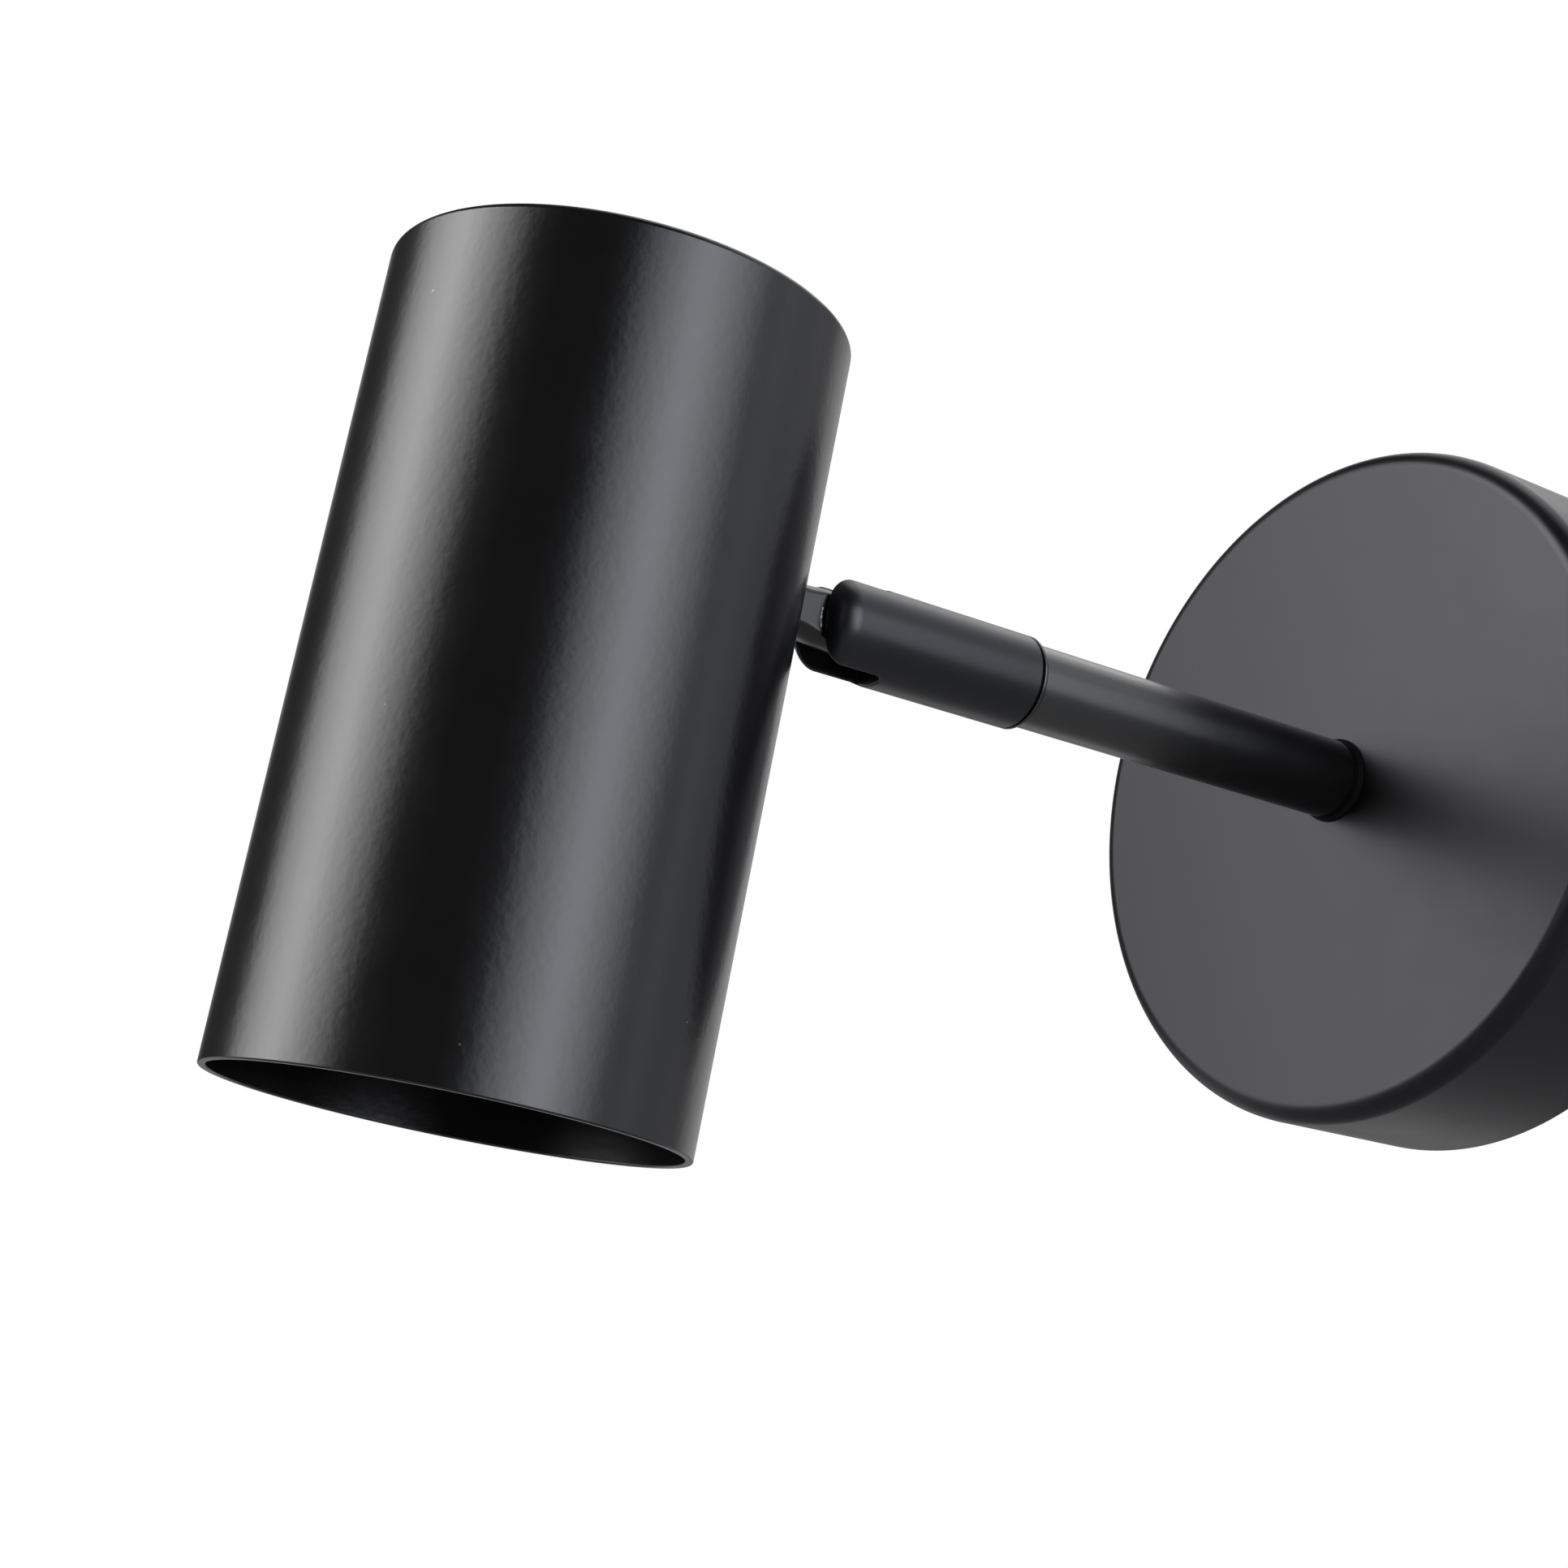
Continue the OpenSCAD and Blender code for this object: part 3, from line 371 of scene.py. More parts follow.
class Solid:
    """A solid given by its distance, which is negative inside it."""

    def __init__(self, distance: Callable[[np.ndarray, np.ndarray, np.ndarray], np.ndarray]) -> None:
        """Holds the distance as a function of x, y and z."""
        self.distance = distance

    @staticmethod
    def rod(r: float, low: float = -FAR, high: float = FAR, edge: float = 0.0, axis: int = 2) -> "Solid":
        """A rod along an axis.

        Args:
            r: Radius of the rod.
            low: Where it starts on its axis.
            high: Where it ends.
            edge: Radius of its end edges.
            axis: Number of its axis, from 0 to 2.

        Returns:
            The rod.
        """

        def distance(*p: np.ndarray) -> np.ndarray:
            """The distance to the rod's wall or nearer end.

            Args:
                p: Arrays of the points' places on the three axes.

            Returns:
                The distances, below 0 in the rod.
            """
            across = [p[i] for i in range(3) if i != axis]
            wall = np.sqrt(across[0] ** 2 + across[1] ** 2) - r
            return meet(wall, np.maximum(low - p[axis], p[axis] - high), edge)

        return Solid(distance)
    @staticmethod
    def ball(r: float) -> "Solid":
        """A ball round the origin."""
        return Solid(lambda x, y, z: np.sqrt(x * x + y * y + z * z) - r)

    @staticmethod
    def block(low: Triple, high: Triple, edge: float = 0.0) -> "Solid":
        """A box between two corners.

        Args:
            low: Its low corner.
            high: Its high corner.
            edge: Radius of its edges.

        Returns:
            The box.
        """

        def distance(*p: np.ndarray) -> np.ndarray:
            """The distance to the box's nearest side."""
            sides = [np.maximum(low[i] - p[i], p[i] - high[i]) for i in range(3)]
            return meet(meet(sides[0], sides[1], edge), sides[2], edge)

        return Solid(distance)

    def shifted(self, by: Triple) -> "Solid":
        """This solid moved by an offset."""
        return Solid(lambda x, y, z: self.distance(x - by[0], y - by[1], z - by[2]))

    def cut(self, other: "Solid", edge: float = 0.0) -> "Solid":
        """This solid less another, with the new edges rounded."""
        return Solid(lambda x, y, z: meet(self.distance(x, y, z), -other.distance(x, y, z), edge))

    def common(self, other: "Solid", edge: float = 0.0) -> "Solid":
        """What this solid and another share, with the new edges rounded."""
        return Solid(lambda x, y, z: meet(self.distance(x, y, z), other.distance(x, y, z), edge))

    def plus(self, other: "Solid", fillet: float = 0.0) -> "Solid":
        """This solid and another, with a fillet where they meet."""
        return Solid(lambda x, y, z: -meet(-self.distance(x, y, z), -other.distance(x, y, z), fillet))

    def skin(self, name: str, steps: Sequence[np.ndarray], seat: Seat) -> Piece:
        """Makes the solid's surface a piece of quads that lie on it.

        Args:
            name: Name of the piece.
            steps: The grid's coordinates along x, y and z, which reach past the solid.
            seat: Where the solid stands.

        Returns:
            The piece, with its exact shading directions.
        """
        passes, least = 4, 0.25
        grids = np.meshgrid(*steps, indexing="ij")
        value = self.distance(*grids)
        inside = value < 0
        shape = np.array(value.shape) - 1
        total = np.zeros((*shape, 3))
        count = np.zeros(shape)
        crossings = []
        for axis in range(3):
            low = [slice(None)] * 3
            high = [slice(None)] * 3
            low[axis], high[axis] = slice(0, -1), slice(1, None)
            a, b = value[tuple(low)], value[tuple(high)]
            crosses = inside[tuple(low)] != inside[tuple(high)]
            share = np.where(crosses, a / np.where(crosses, a - b, 1.0), 0.0)
            where = [g[tuple(low)].copy() for g in grids]
            where[axis] += share * (grids[axis][tuple(high)] - grids[axis][tuple(low)])
            others = [i for i in range(3) if i != axis]
            for da in (0, 1):
                for db in (0, 1):
                    part = [slice(None)] * 3
                    part[others[0]] = slice(da, da + shape[others[0]])
                    part[others[1]] = slice(db, db + shape[others[1]])
                    here = crosses[tuple(part)]
                    count += here
                    for i in range(3):
                        total[..., i] += np.where(here, where[i][tuple(part)], 0.0)
            crossings.append((axis, others, crosses, inside[tuple(low)]))
        used = count > 0
        number = np.full(tuple(shape), -1)
        number[used] = np.arange(int(used.sum()))
        points = total[used] / count[used][:, None]
        faces = []
        for axis, others, crosses, first_inside in crossings:
            for spot in np.argwhere(crosses):
                if spot[others[0]] == 0 or spot[others[1]] == 0:
                    continue
                quad = []
                for da, db in ((1, 1), (0, 1), (0, 0), (1, 0)):
                    cell = spot.copy()
                    cell[others[0]] -= da
                    cell[others[1]] -= db
                    quad.append(int(number[tuple(cell)]))
                outward = bool(first_inside[tuple(spot)])
                if (axis == 1) == outward:
                    quad.reverse()
                faces.append(tuple(quad))
        for _ in range(passes):
            slope = self.slope(points)
            steepness = np.maximum((slope**2).sum(axis=1), least)
            points -= slope * (self.distance(*points.T) / steepness)[:, None]
        mesh = bpy.data.meshes.new(name)
        mesh.from_pydata([tuple(p) for p in seat.place(points)], [], faces)
        normals = self.slope(points) @ seat.basis
        normals /= np.maximum(np.linalg.norm(normals, axis=1), 1e-9)[:, None]
        mesh.shade_smooth()
        mesh.normals_split_custom_set_from_vertices([tuple(n) for n in normals])
        return new_object(name, mesh)

    def slope(self, points: np.ndarray) -> np.ndarray:
        """The way in which the distance grows at each point.

        Args:
            points: Points near the surface, in rows.

        Returns:
            The growth along x, y and z at each of them.
        """
        reach = 0.004
        slope = np.zeros_like(points)
        for i in range(3):
            step = np.zeros(3)
            step[i] = reach
            ahead, behind = points + step, points - step
            slope[:, i] = (self.distance(*ahead.T) - self.distance(*behind.T)) / (2 * reach)
        return slope


def meet(a: np.ndarray, b: np.ndarray, edge: float) -> np.ndarray:
    """The distance to what two solids share, with the edge between them rounded.

    Args:
        a: Distance to the first solid.
        b: Distance to the second solid.
        edge: Radius of the edge.

    Returns:
        The distance to the shared part.
    """
    if edge <= 0:
        return np.maximum(a, b)
    over_a, over_b = np.maximum(edge + a, 0), np.maximum(edge + b, 0)
    return np.minimum(-edge, np.maximum(a, b)) + np.sqrt(over_a**2 + over_b**2)


def ticks(*stretches: tuple[float, float, float]) -> np.ndarray:
    """Grid coordinates from stretches, each with its start, its end and its step."""
    parts = [np.linspace(a, b, max(int(round((b - a) / step)), 1) + 1)[:-1] for a, b, step in stretches]
    return np.concatenate(parts + [np.array([stretches[-1][1]])])


# Pieces


def cooked(piece: Piece) -> None:
    """Applies a piece's modifiers to its mesh.

    Args:
        piece: The piece.
    """
    graph = bpy.context.evaluated_depsgraph_get()
    mesh = bpy.data.meshes.new_from_object(
        piece.evaluated_get(graph), preserve_all_data_layers=True, depsgraph=graph
    )
    old = piece.data
    piece.modifiers.clear()
    piece.data = mesh
    mesh.name = piece.name
    bpy.data.meshes.remove(old)


def new_object(name: str, mesh: bpy.types.Mesh) -> Piece:
    """Puts a mesh into the scene as an object at the origin.

    Args:
        name: Name of the object.
        mesh: Its mesh.

    Returns:
        The object.
    """
    piece = bpy.data.objects.new(name, mesh)
    bpy.context.scene.collection.objects.link(piece)
    return piece


def shaded(piece: Piece, crease: float = 32.0) -> None:
    """Shades a piece smoothly, with its flats flat and its creases sharp.

    Args:
        piece: The piece.
        crease: Angle past which an edge is sharp, in degrees.
    """
    piece.data.shade_smooth()
    piece.data.set_sharp_from_angle(angle=math.radians(crease))
    smoother = piece.modifiers.new("flats", "WEIGHTED_NORMAL")
    smoother.mode = "FACE_AREA"
    smoother.keep_sharp = True
    cooked(piece)


def pierced(piece: Piece, cutter: bpy.types.Mesh) -> None:
    """Cuts one mesh out of a piece.

    Args:
        piece: The piece.
        cutter: The mesh, which is used up.
    """
    tool = new_object(piece.name + "_tool", cutter)
    cut = piece.modifiers.new("cut", "BOOLEAN")
    cut.operation = "DIFFERENCE"
    cut.solver = "EXACT"
    cut.object = tool
    cooked(piece)
    bpy.data.objects.remove(tool)
    bpy.data.meshes.remove(cutter)


def eased_node(node: str, name: str, edge: float) -> Piece:
    """A copy of a model part with its edges broken, to stand for it.

    Args:
        node: Name of the model part.
        name: Name of the new piece.
        edge: Width of the broken edges, in mm.

    Returns:
        The new piece.
    """
    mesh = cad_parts[node].data.copy()
    mesh.name = name
    mesh.materials.clear()
    work = bmesh.new()
    work.from_mesh(mesh)
    bmesh.ops.remove_doubles(work, verts=work.verts, dist=SAME_MODEL_SPOT)
    flat = math.radians(1.0)
    bmesh.ops.dissolve_limit(work, angle_limit=flat, verts=work.verts, edges=work.edges)
    work.to_mesh(mesh)
    work.free()
    piece = new_object(name, mesh)
    bevel = piece.modifiers.new("edges", "BEVEL")
    bevel.width = edge * MM
    bevel.segments = 2
    bevel.limit_method = "ANGLE"
    bevel.angle_limit = math.radians(30)
    cooked(piece)
    shaded(piece, crease=40.0)
    return piece


# Geometry node trees


class Builder:
    """What builds a node tree."""

    tree: Tree

    def add(self, kind: str, inputs: dict | None = None, **settings: object) -> Node:
        """Adds a node, with its settings and what goes into it."""
        return add_node(self.tree, kind, inputs, **settings)

    def math(self, operation: str, *values: object) -> Socket:
        """Adds a sum and gives its result."""
        return self.add("ShaderNodeMath", dict(enumerate(values)), operation=operation).outputs[0]


class Recipe(Builder):
    """A geometry node tree that is built once and used with its own sizes each time."""

    def __init__(self, name: str) -> None:
        """Starts the tree with the geometry that comes in and goes out.

        Args:
            name: Name of the tree.
        """
        self.tree = bpy.data.node_groups.new(name, "GeometryNodeTree")
        self.tree.is_modifier = True
        self.names: dict[str, str] = {}
        self.socket("Geometry", "NodeSocketGeometry")
        self.tree.interface.new_socket(
            name="Geometry", in_out="OUTPUT", socket_type="NodeSocketGeometry"
        )
        self.inward = self.tree.nodes.new("NodeGroupInput")
        self.outward = self.tree.nodes.new("NodeGroupOutput")

    def socket(self, name: str, kind: str) -> None:
        """Adds a named input."""
        made = self.tree.interface.new_socket(name=name, in_out="INPUT", socket_type=kind)
        self.names[name] = made.identifier

    def finish(self, made: Socket) -> None:
        """Ends the tree: copies become real meshes and take their material.

        Args:
            made: The geometry that the tree made.
        """
        self.socket("Material", "NodeSocketMaterial")
        real = self.add("GeometryNodeRealizeInstances", {"Geometry": made})
        dressed = self.add(
            "GeometryNodeSetMaterial",
            {"Geometry": real.outputs[0], "Material": self.inward.outputs["Material"]},
        )
        self.tree.links.new(dressed.outputs[0], self.outward.inputs["Geometry"])

    def cook(self, piece: Piece, **values: object) -> None:
        """Runs the tree on a piece and keeps the result as its plain mesh.

        Args:
            piece: The object whose mesh goes into the tree.
            values: What goes into the tree's named inputs, with _ for a space.
        """
        modifier = piece.modifiers.new(self.tree.name, "NODES")
        modifier.node_group = self.tree
        for name, value in values.items():
            modifier[self.names[name.replace("_", " ")]] = value
        cooked(piece)


def add_node(tree: Tree, kind: str, inputs: dict | None = None, **settings: object) -> Node:
    """Adds a node to a tree.

    Args:
        tree: The tree.
        kind: The node's type.
        inputs: What goes into its inputs, by name or number: a value, or a socket to join.
        settings: The node's own settings.

    Returns:
        The node.
    """
    node = tree.nodes.new(kind)
    for name, value in settings.items():
        setattr(node, name, value)
    for name, value in (inputs or {}).items():
        if isinstance(value, Socket):
            tree.links.new(value, node.inputs[name])
        else:
            node.inputs[name].default_value = value
    return node


def ring_recipe() -> Recipe:
    """Repeats the incoming part round its own z axis.

    Returns:
        The tree.
    """
    recipe = Recipe("ring_of_parts")
    recipe.socket("Count", "NodeSocketInt")
    recipe.socket("First Angle", "NodeSocketFloat")
    count = recipe.inward.outputs["Count"]
    spots = recipe.add("GeometryNodePoints", {"Count": count})
    index = recipe.add("GeometryNodeInputIndex")
    step = recipe.math("DIVIDE", 2 * math.pi, count)
    first = recipe.inward.outputs["First Angle"]
    angle = recipe.math("MULTIPLY_ADD", index.outputs[0], step, first)
    euler = recipe.add("ShaderNodeCombineXYZ", {"Z": angle})
    turn = recipe.add("FunctionNodeEulerToRotation", {0: euler.outputs[0]})
    copies = recipe.add(
        "GeometryNodeInstanceOnPoints",
        {
            "Points": spots.outputs[0],
            "Instance": recipe.inward.outputs["Geometry"],
            "Rotation": turn.outputs[0],
        },
    )
    recipe.finish(copies.outputs[0])
    return recipe


def scatter_recipe() -> Recipe:
    """Puts a part at each of the incoming points.

    Returns:
        The tree.
    """
    recipe = Recipe("parts_at_points")
    recipe.socket("Part", "NodeSocketObject")
    part = recipe.inward.outputs["Part"]
    info = recipe.add("GeometryNodeObjectInfo", {"Object": part}, transform_space="ORIGINAL")
    copies = recipe.add(
        "GeometryNodeInstanceOnPoints",
        {"Points": recipe.inward.outputs["Geometry"], "Instance": info.outputs["Geometry"]},
    )
    recipe.finish(copies.outputs[0])
    return recipe


def lead_recipe() -> Recipe:
    """Sweeps a round lead along the incoming line, and marks how far round it a point is.

    Returns:
        The tree.
    """
    recipe = Recipe("swept_lead")
    recipe.socket("Radius", "NodeSocketFloat")
    recipe.socket("Steps", "NodeSocketInt")
    recipe.socket("Sides", "NodeSocketInt")
    inputs = recipe.inward.outputs
    line = recipe.add("GeometryNodeMeshToCurve", {"Mesh": inputs["Geometry"]})
    even = recipe.add(
        "GeometryNodeResampleCurve", {"Curve": line.outputs[0], "Count": inputs["Steps"]}
    )
    circle = recipe.add(
        "GeometryNodeCurvePrimitiveCircle",
        {"Resolution": inputs["Sides"], "Radius": inputs["Radius"]},
    )
    factor = recipe.add("GeometryNodeSplineParameter")
    marked = recipe.add(
        "GeometryNodeStoreNamedAttribute",
        {"Geometry": circle.outputs[0], "Name": "around", "Value": factor.outputs["Factor"]},
        data_type="FLOAT",
        domain="POINT",
    )
    tube = recipe.add(
        "GeometryNodeCurveToMesh",
        {"Curve": even.outputs[0], "Profile Curve": marked.outputs[0], "Fill Caps": True},
    )
    smooth = recipe.add("GeometryNodeSetShadeSmooth", {"Geometry": tube.outputs[0]})
    recipe.finish(smooth.outputs[0])
    return recipe


# Shader node groups


class Effect(Builder):
    """A shader node group that several materials share."""

    def __init__(self, name: str, inputs: dict[str, float], outputs: Sequence[str]) -> None:
        """Starts the group with its named inputs, their usual values and its outputs.

        Args:
            name: Name of the group.
            inputs: Its inputs, with their usual values.
            outputs: Its outputs.
        """
        self.tree = bpy.data.node_groups.new(name, "ShaderNodeTree")
        kind = "NodeSocketFloat"
        for title, value in inputs.items():
            made = self.tree.interface.new_socket(name=title, in_out="INPUT", socket_type=kind)
            made.default_value = value
        for title in outputs:
            self.tree.interface.new_socket(name=title, in_out="OUTPUT", socket_type=kind)
        self.inward = self.add("NodeGroupInput")
        self.outward = self.add("NodeGroupOutput")
        self.where = self.add("ShaderNodeTexCoord").outputs["Object"]

    def per_mm(self, title: str) -> Socket:
        """The texture scale that gives features of the input's size, in mm."""
        return self.math("DIVIDE", 1.0 / MM, self.inward.outputs[title])

    def give(self, **results: Socket) -> None:
        """Joins the results to the group's outputs."""
        for title, socket in results.items():
            self.tree.links.new(socket, self.outward.inputs[title])


def grain_effect() -> Effect:
    """Fine grain of a sprayed, cast or moulded surface, its wider ripple, and drift in its tone.

    Returns:
        The effect.
    """
    effect = Effect("fine_grain", {"Grain": 0.3, "Drift": 9.0, "Ripple": 0.6}, ("Height", "Tone"))
    scale = effect.per_mm("Grain")
    fine = effect.add(
        "ShaderNodeTexNoise", {"Vector": effect.where, "Scale": scale, "Detail": 2.0, "Roughness": 0.55}
    )
    wide = effect.add(
        "ShaderNodeTexNoise",
        {"Vector": effect.where, "Scale": effect.math("MULTIPLY", scale, 0.3), "Detail": 1.0},
    )
    ripple = effect.inward.outputs["Ripple"]
    height = effect.math("MULTIPLY_ADD", wide.outputs["Fac"], ripple, fine.outputs["Fac"])
    drift = effect.add(
        "ShaderNodeTexNoise", {"Vector": effect.where, "Scale": effect.per_mm("Drift"), "Detail": 3.0}
    )
    tone = effect.add(
        "ShaderNodeMapRange", {"Value": drift.outputs["Fac"], "From Min": 0.3, "From Max": 0.7}
    )
    effect.give(Height=height, Tone=tone.outputs[0])
    return effect


def speck_effect() -> Effect:
    """Sparse specks of dust and lint.

    Returns:
        The effect.
    """
    effect = Effect("dust_specks", {"Spacing": 2.2, "Share": 0.2, "Width": 0.06}, ("Mask",))
    cells = effect.add(
        "ShaderNodeTexVoronoi", {"Vector": effect.where, "Scale": effect.per_mm("Spacing")}, feature="F1"
    )
    chance = effect.add("ShaderNodeSeparateColor", {0: cells.outputs["Color"]})
    kept = effect.math("LESS_THAN", chance.outputs[0], effect.inward.outputs["Share"])
    width = effect.math("MULTIPLY", effect.inward.outputs["Width"], chance.outputs[1])
    edge = effect.math("SUBTRACT", width, cells.outputs["Distance"])
    spot = effect.add("ShaderNodeMapRange", {"Value": edge, "From Min": 0.0, "From Max": 0.02})
    effect.give(Mask=effect.math("MULTIPLY", kept, spot.outputs[0]))
    return effect


def wear_effect() -> Effect:
    """Ragged wear: what the amount lays bare, broken up by small flakes.

    Returns:
        The effect.
    """
    effect = Effect("ragged_wear", {"Amount": 0.0, "Flake": 0.35}, ("Mask",))
    scale = effect.per_mm("Flake")
    flakes = effect.add(
        "ShaderNodeTexNoise", {"Vector": effect.where, "Scale": scale, "Detail": 4.0, "Roughness": 0.65}
    )
    bare = effect.math("ADD", flakes.outputs["Fac"], effect.inward.outputs["Amount"])
    mask = effect.add("ShaderNodeMapRange", {"Value": bare, "From Min": 1.0, "From Max": 1.03})
    effect.give(Mask=mask.outputs[0])
    return effect


def tool_effect() -> Effect:
    """Fine lines that a tool leaves, a little uneven.

    Returns:
        The effect.
    """
    effect = Effect("tool_lines", {"Line": 0.12, "Grain": 0.4}, ("Height", "Tone"))
    stretched = effect.add("ShaderNodeMapping", {"Vector": effect.where, "Scale": (1.0, 1.0, 0.06)})
    lines = effect.add(
        "ShaderNodeTexNoise",
        {"Vector": stretched.outputs[0], "Scale": effect.per_mm("Line"), "Detail": 2.0},
    )
    patches = effect.add(
        "ShaderNodeTexNoise", {"Vector": effect.where, "Scale": effect.per_mm("Grain"), "Detail": 3.0}
    )
    height = effect.math("MULTIPLY_ADD", patches.outputs["Fac"], 0.5, lines.outputs["Fac"])
    effect.give(Height=height, Tone=patches.outputs["Fac"])
    return effect


@dataclass
class Effects:
    """The shared effects, each built once."""

    grain: Effect = field(default_factory=grain_effect)
    specks: Effect = field(default_factory=speck_effect)
    wear: Effect = field(default_factory=wear_effect)
    tool: Effect = field(default_factory=tool_effect)


# Finishes


def rgba(colour: Colour) -> tuple[float, float, float, float]:
    """A colour with full cover."""
    return (*colour, 1.0)


class Dresser(Builder):
    """Builds one material's nodes round its own shader."""

    def __init__(self, name: str, effects: Effects) -> None:
        """Starts the material.

        Args:
            name: Name of the material.
            effects: The shared effects.
        """
        self.material = bpy.data.materials.new(name)
        self.material.use_nodes = True
        self.tree = self.material.node_tree
        self.tree.nodes.clear()
        self.effects = effects
        self.shader = self.add("ShaderNodeBsdfPrincipled")
        out = self.add("ShaderNodeOutputMaterial")
        self.tree.links.new(self.shader.outputs[0], out.inputs["Surface"])

    def effect(self, effect: Effect, **inputs: object) -> Node:
        """Places a shared effect with this material's values."""
        return self.add("ShaderNodeGroup", inputs, node_tree=effect.tree)

    def mix(self, share: Socket, low: object, high: object) -> Socket:
        """Mixes two colours by a share.

        Args:
            share: How much of the second colour shows.
            low: The first colour, or a socket that gives it.
            high: The second colour, or a socket that gives it.

        Returns:
            The socket with the mixed colour.
        """
        ends = [v if isinstance(v, Socket) else rgba(v) for v in (low, high)]
        node = self.add("ShaderNodeMix", {"Factor": share, 6: ends[0], 7: ends[1]}, data_type="RGBA")
        return node.outputs[2]

    def span(self, value: Socket, low: float, high: float) -> Socket:
        """Spreads a value from 0 to 1 over a span."""
        return self.add("ShaderNodeMapRange", {"Value": value, "To Min": low, "To Max": high}).outputs[0]

    def feed(self, title: str, socket: Socket) -> None:
        """Joins a socket to one of the shader's inputs."""
        self.tree.links.new(socket, self.shader.inputs[title])

    def set(self, **values: object) -> None:
        """Sets plain values on the shader, with _ for a space in an input's name."""
        for title, value in values.items():
            self.shader.inputs[title.replace("_", " ")].default_value = value

    def bump(self, height: Socket, depth: float) -> None:
        """Gives the surface its relief, whose depth is in mm."""
        node = self.add("ShaderNodeBump", {"Height": height, "Distance": depth * MM, "Strength": 1.0})
        self.feed("Normal", node.outputs[0])


@dataclass(frozen=True)
class Finish:
    """A finish: it knows its slot and how to make its material."""

    name: str
    slot: Slot

    def material(self, effects: Effects) -> bpy.types.Material:
        """Makes the material.

        Args:
            effects: The shared effects.

        Returns:
            The material.
        """
        raise NotImplementedError


@dataclass(frozen=True)
class PowderCoat(Finish):
    """Sprayed and baked powder: a fine satin grain, with a little dust on it."""

    dark: Colour = (0.0034, 0.0034, 0.0037)
    light: Colour = (0.0048, 0.0048, 0.0052)
    dust: Colour = (0.22, 0.22, 0.22)
    smooth: float = 0.215
    rough: float = 0.24
    grain: float = 0.34
    depth: float = 0.005
    ripple: float = 0.8
    share: float = 0.035
    specular: float = 0.8
    ior: float = 1.5
    tint: Colour = (1.0, 1.0, 1.0)

    def material(self, effects: Effects) -> bpy.types.Material:
        """Makes the material.

        Args:
            effects: The shared effects.

        Returns:
            The material.
        """
        dresser = Dresser(self.name, effects)
        grain = dresser.effect(effects.grain, Grain=self.grain, Drift=7.0, Ripple=self.ripple)
        specks = dresser.effect(effects.specks, Spacing=2.4, Share=self.share, Width=0.11)
        tone = grain.outputs["Tone"]
        paint = dresser.mix(tone, self.dark, self.light)
        self.dress(dresser, paint, tone, specks.outputs["Mask"])
        dresser.set(Specular_IOR_Level=self.specular, IOR=self.ior, Specular_Tint=rgba(self.tint))
        dresser.bump(grain.outputs["Height"], self.depth)
        return dresser.material

    def dress(self, dresser: Dresser, paint: Socket, tone: Socket, dusty: Socket) -> None:
        """Joins the paint's colour and gloss to the shader."""
        dresser.feed("Base Color", dresser.mix(dusty, paint, self.dust))
        dresser.feed("Roughness", dresser.span(tone, self.smooth, self.rough))


@dataclass(frozen=True)
class ChippedCoat(PowderCoat):
    """Powder coat that the knuckle's ears have rubbed through to bright metal, along an arc."""

    metal: Colour = (0.62, 0.62, 0.6)
    metal_rough: float = 0.3
    pivot: Triple = (0.0, -0.12102, 0.0)
    arc: float = 6.65
    half_width: float = 0.42
    low: float = -2.2
    high: float = 1.8
    strength: float = 0.62
    flake: float = 0.5

    def dress(self, dresser: Dresser, paint: Socket, tone: Socket, dusty: Socket) -> None:
        """Joins the paint's colour and gloss to the shader, with the rubbed arc laid bare.

        Args:
            dresser: Builder of the material.
            paint: The paint's colour.
            tone: The drift of its gloss.
            dusty: Where specks lie.
        """
        wear = dresser.effect(dresser.effects.wear, Amount=self.rubbed(dresser), Flake=self.flake)
        bare = wear.outputs["Mask"]
        base = dresser.mix(dusty, paint, self.dust)
        dresser.feed("Base Color", dresser.mix(bare, base, self.metal))
        rough = dresser.span(tone, self.smooth, self.rough)
        ends = {"Factor": bare, 2: rough, 3: self.metal_rough}
        dresser.feed("Roughness", dresser.add("ShaderNodeMix", ends, data_type="FLOAT").outputs[0])
        dresser.feed("Metallic", bare)

    def rubbed(self, dresser: Dresser) -> Socket:
        """How much each spot is rubbed: most along the arc, and less towards its two ends.

        Args:
            dresser: Builder of the material.

        Returns:
            The socket with the amount.
        """

        def fall(value: Socket, start: float, end: float, top: float) -> Socket:
            """Falls from the top value to 0 as a distance, in mm, goes from start to end."""
            span = {"From Min": start * MM, "From Max": end * MM, "To Min": top, "To Max": 0.0}
            return dresser.add("ShaderNodeMapRange", {"Value": value, **span}).outputs[0]

        where = dresser.add("ShaderNodeTexCoord").outputs["Object"]
        offset = dresser.add("ShaderNodeVectorMath", {0: where, 1: self.pivot}, operation="SUBTRACT")
        parts = dresser.add("ShaderNodeSeparateXYZ", {0: offset.outputs[0]})
        out, up = parts.outputs[1], parts.outputs[2]
        out_squared, up_squared = (dresser.math("MULTIPLY", v, v) for v in (out, up))
        squares = dresser.math("ADD", out_squared, up_squared)
        off_arc = dresser.math("SUBTRACT", dresser.math("SQRT", squares), self.arc * MM)
        off_middle = dresser.math("SUBTRACT", up, (self.low + self.high) / 2 * MM)
        run = self.high - self.low
        near = fall(dresser.math("ABSOLUTE", off_arc), 0.0, self.half_width, self.strength)
        inner = fall(dresser.math("ABSOLUTE", off_middle), run * 0.3, run * 0.5, 1.0)
        return dresser.math("MULTIPLY", near, inner)


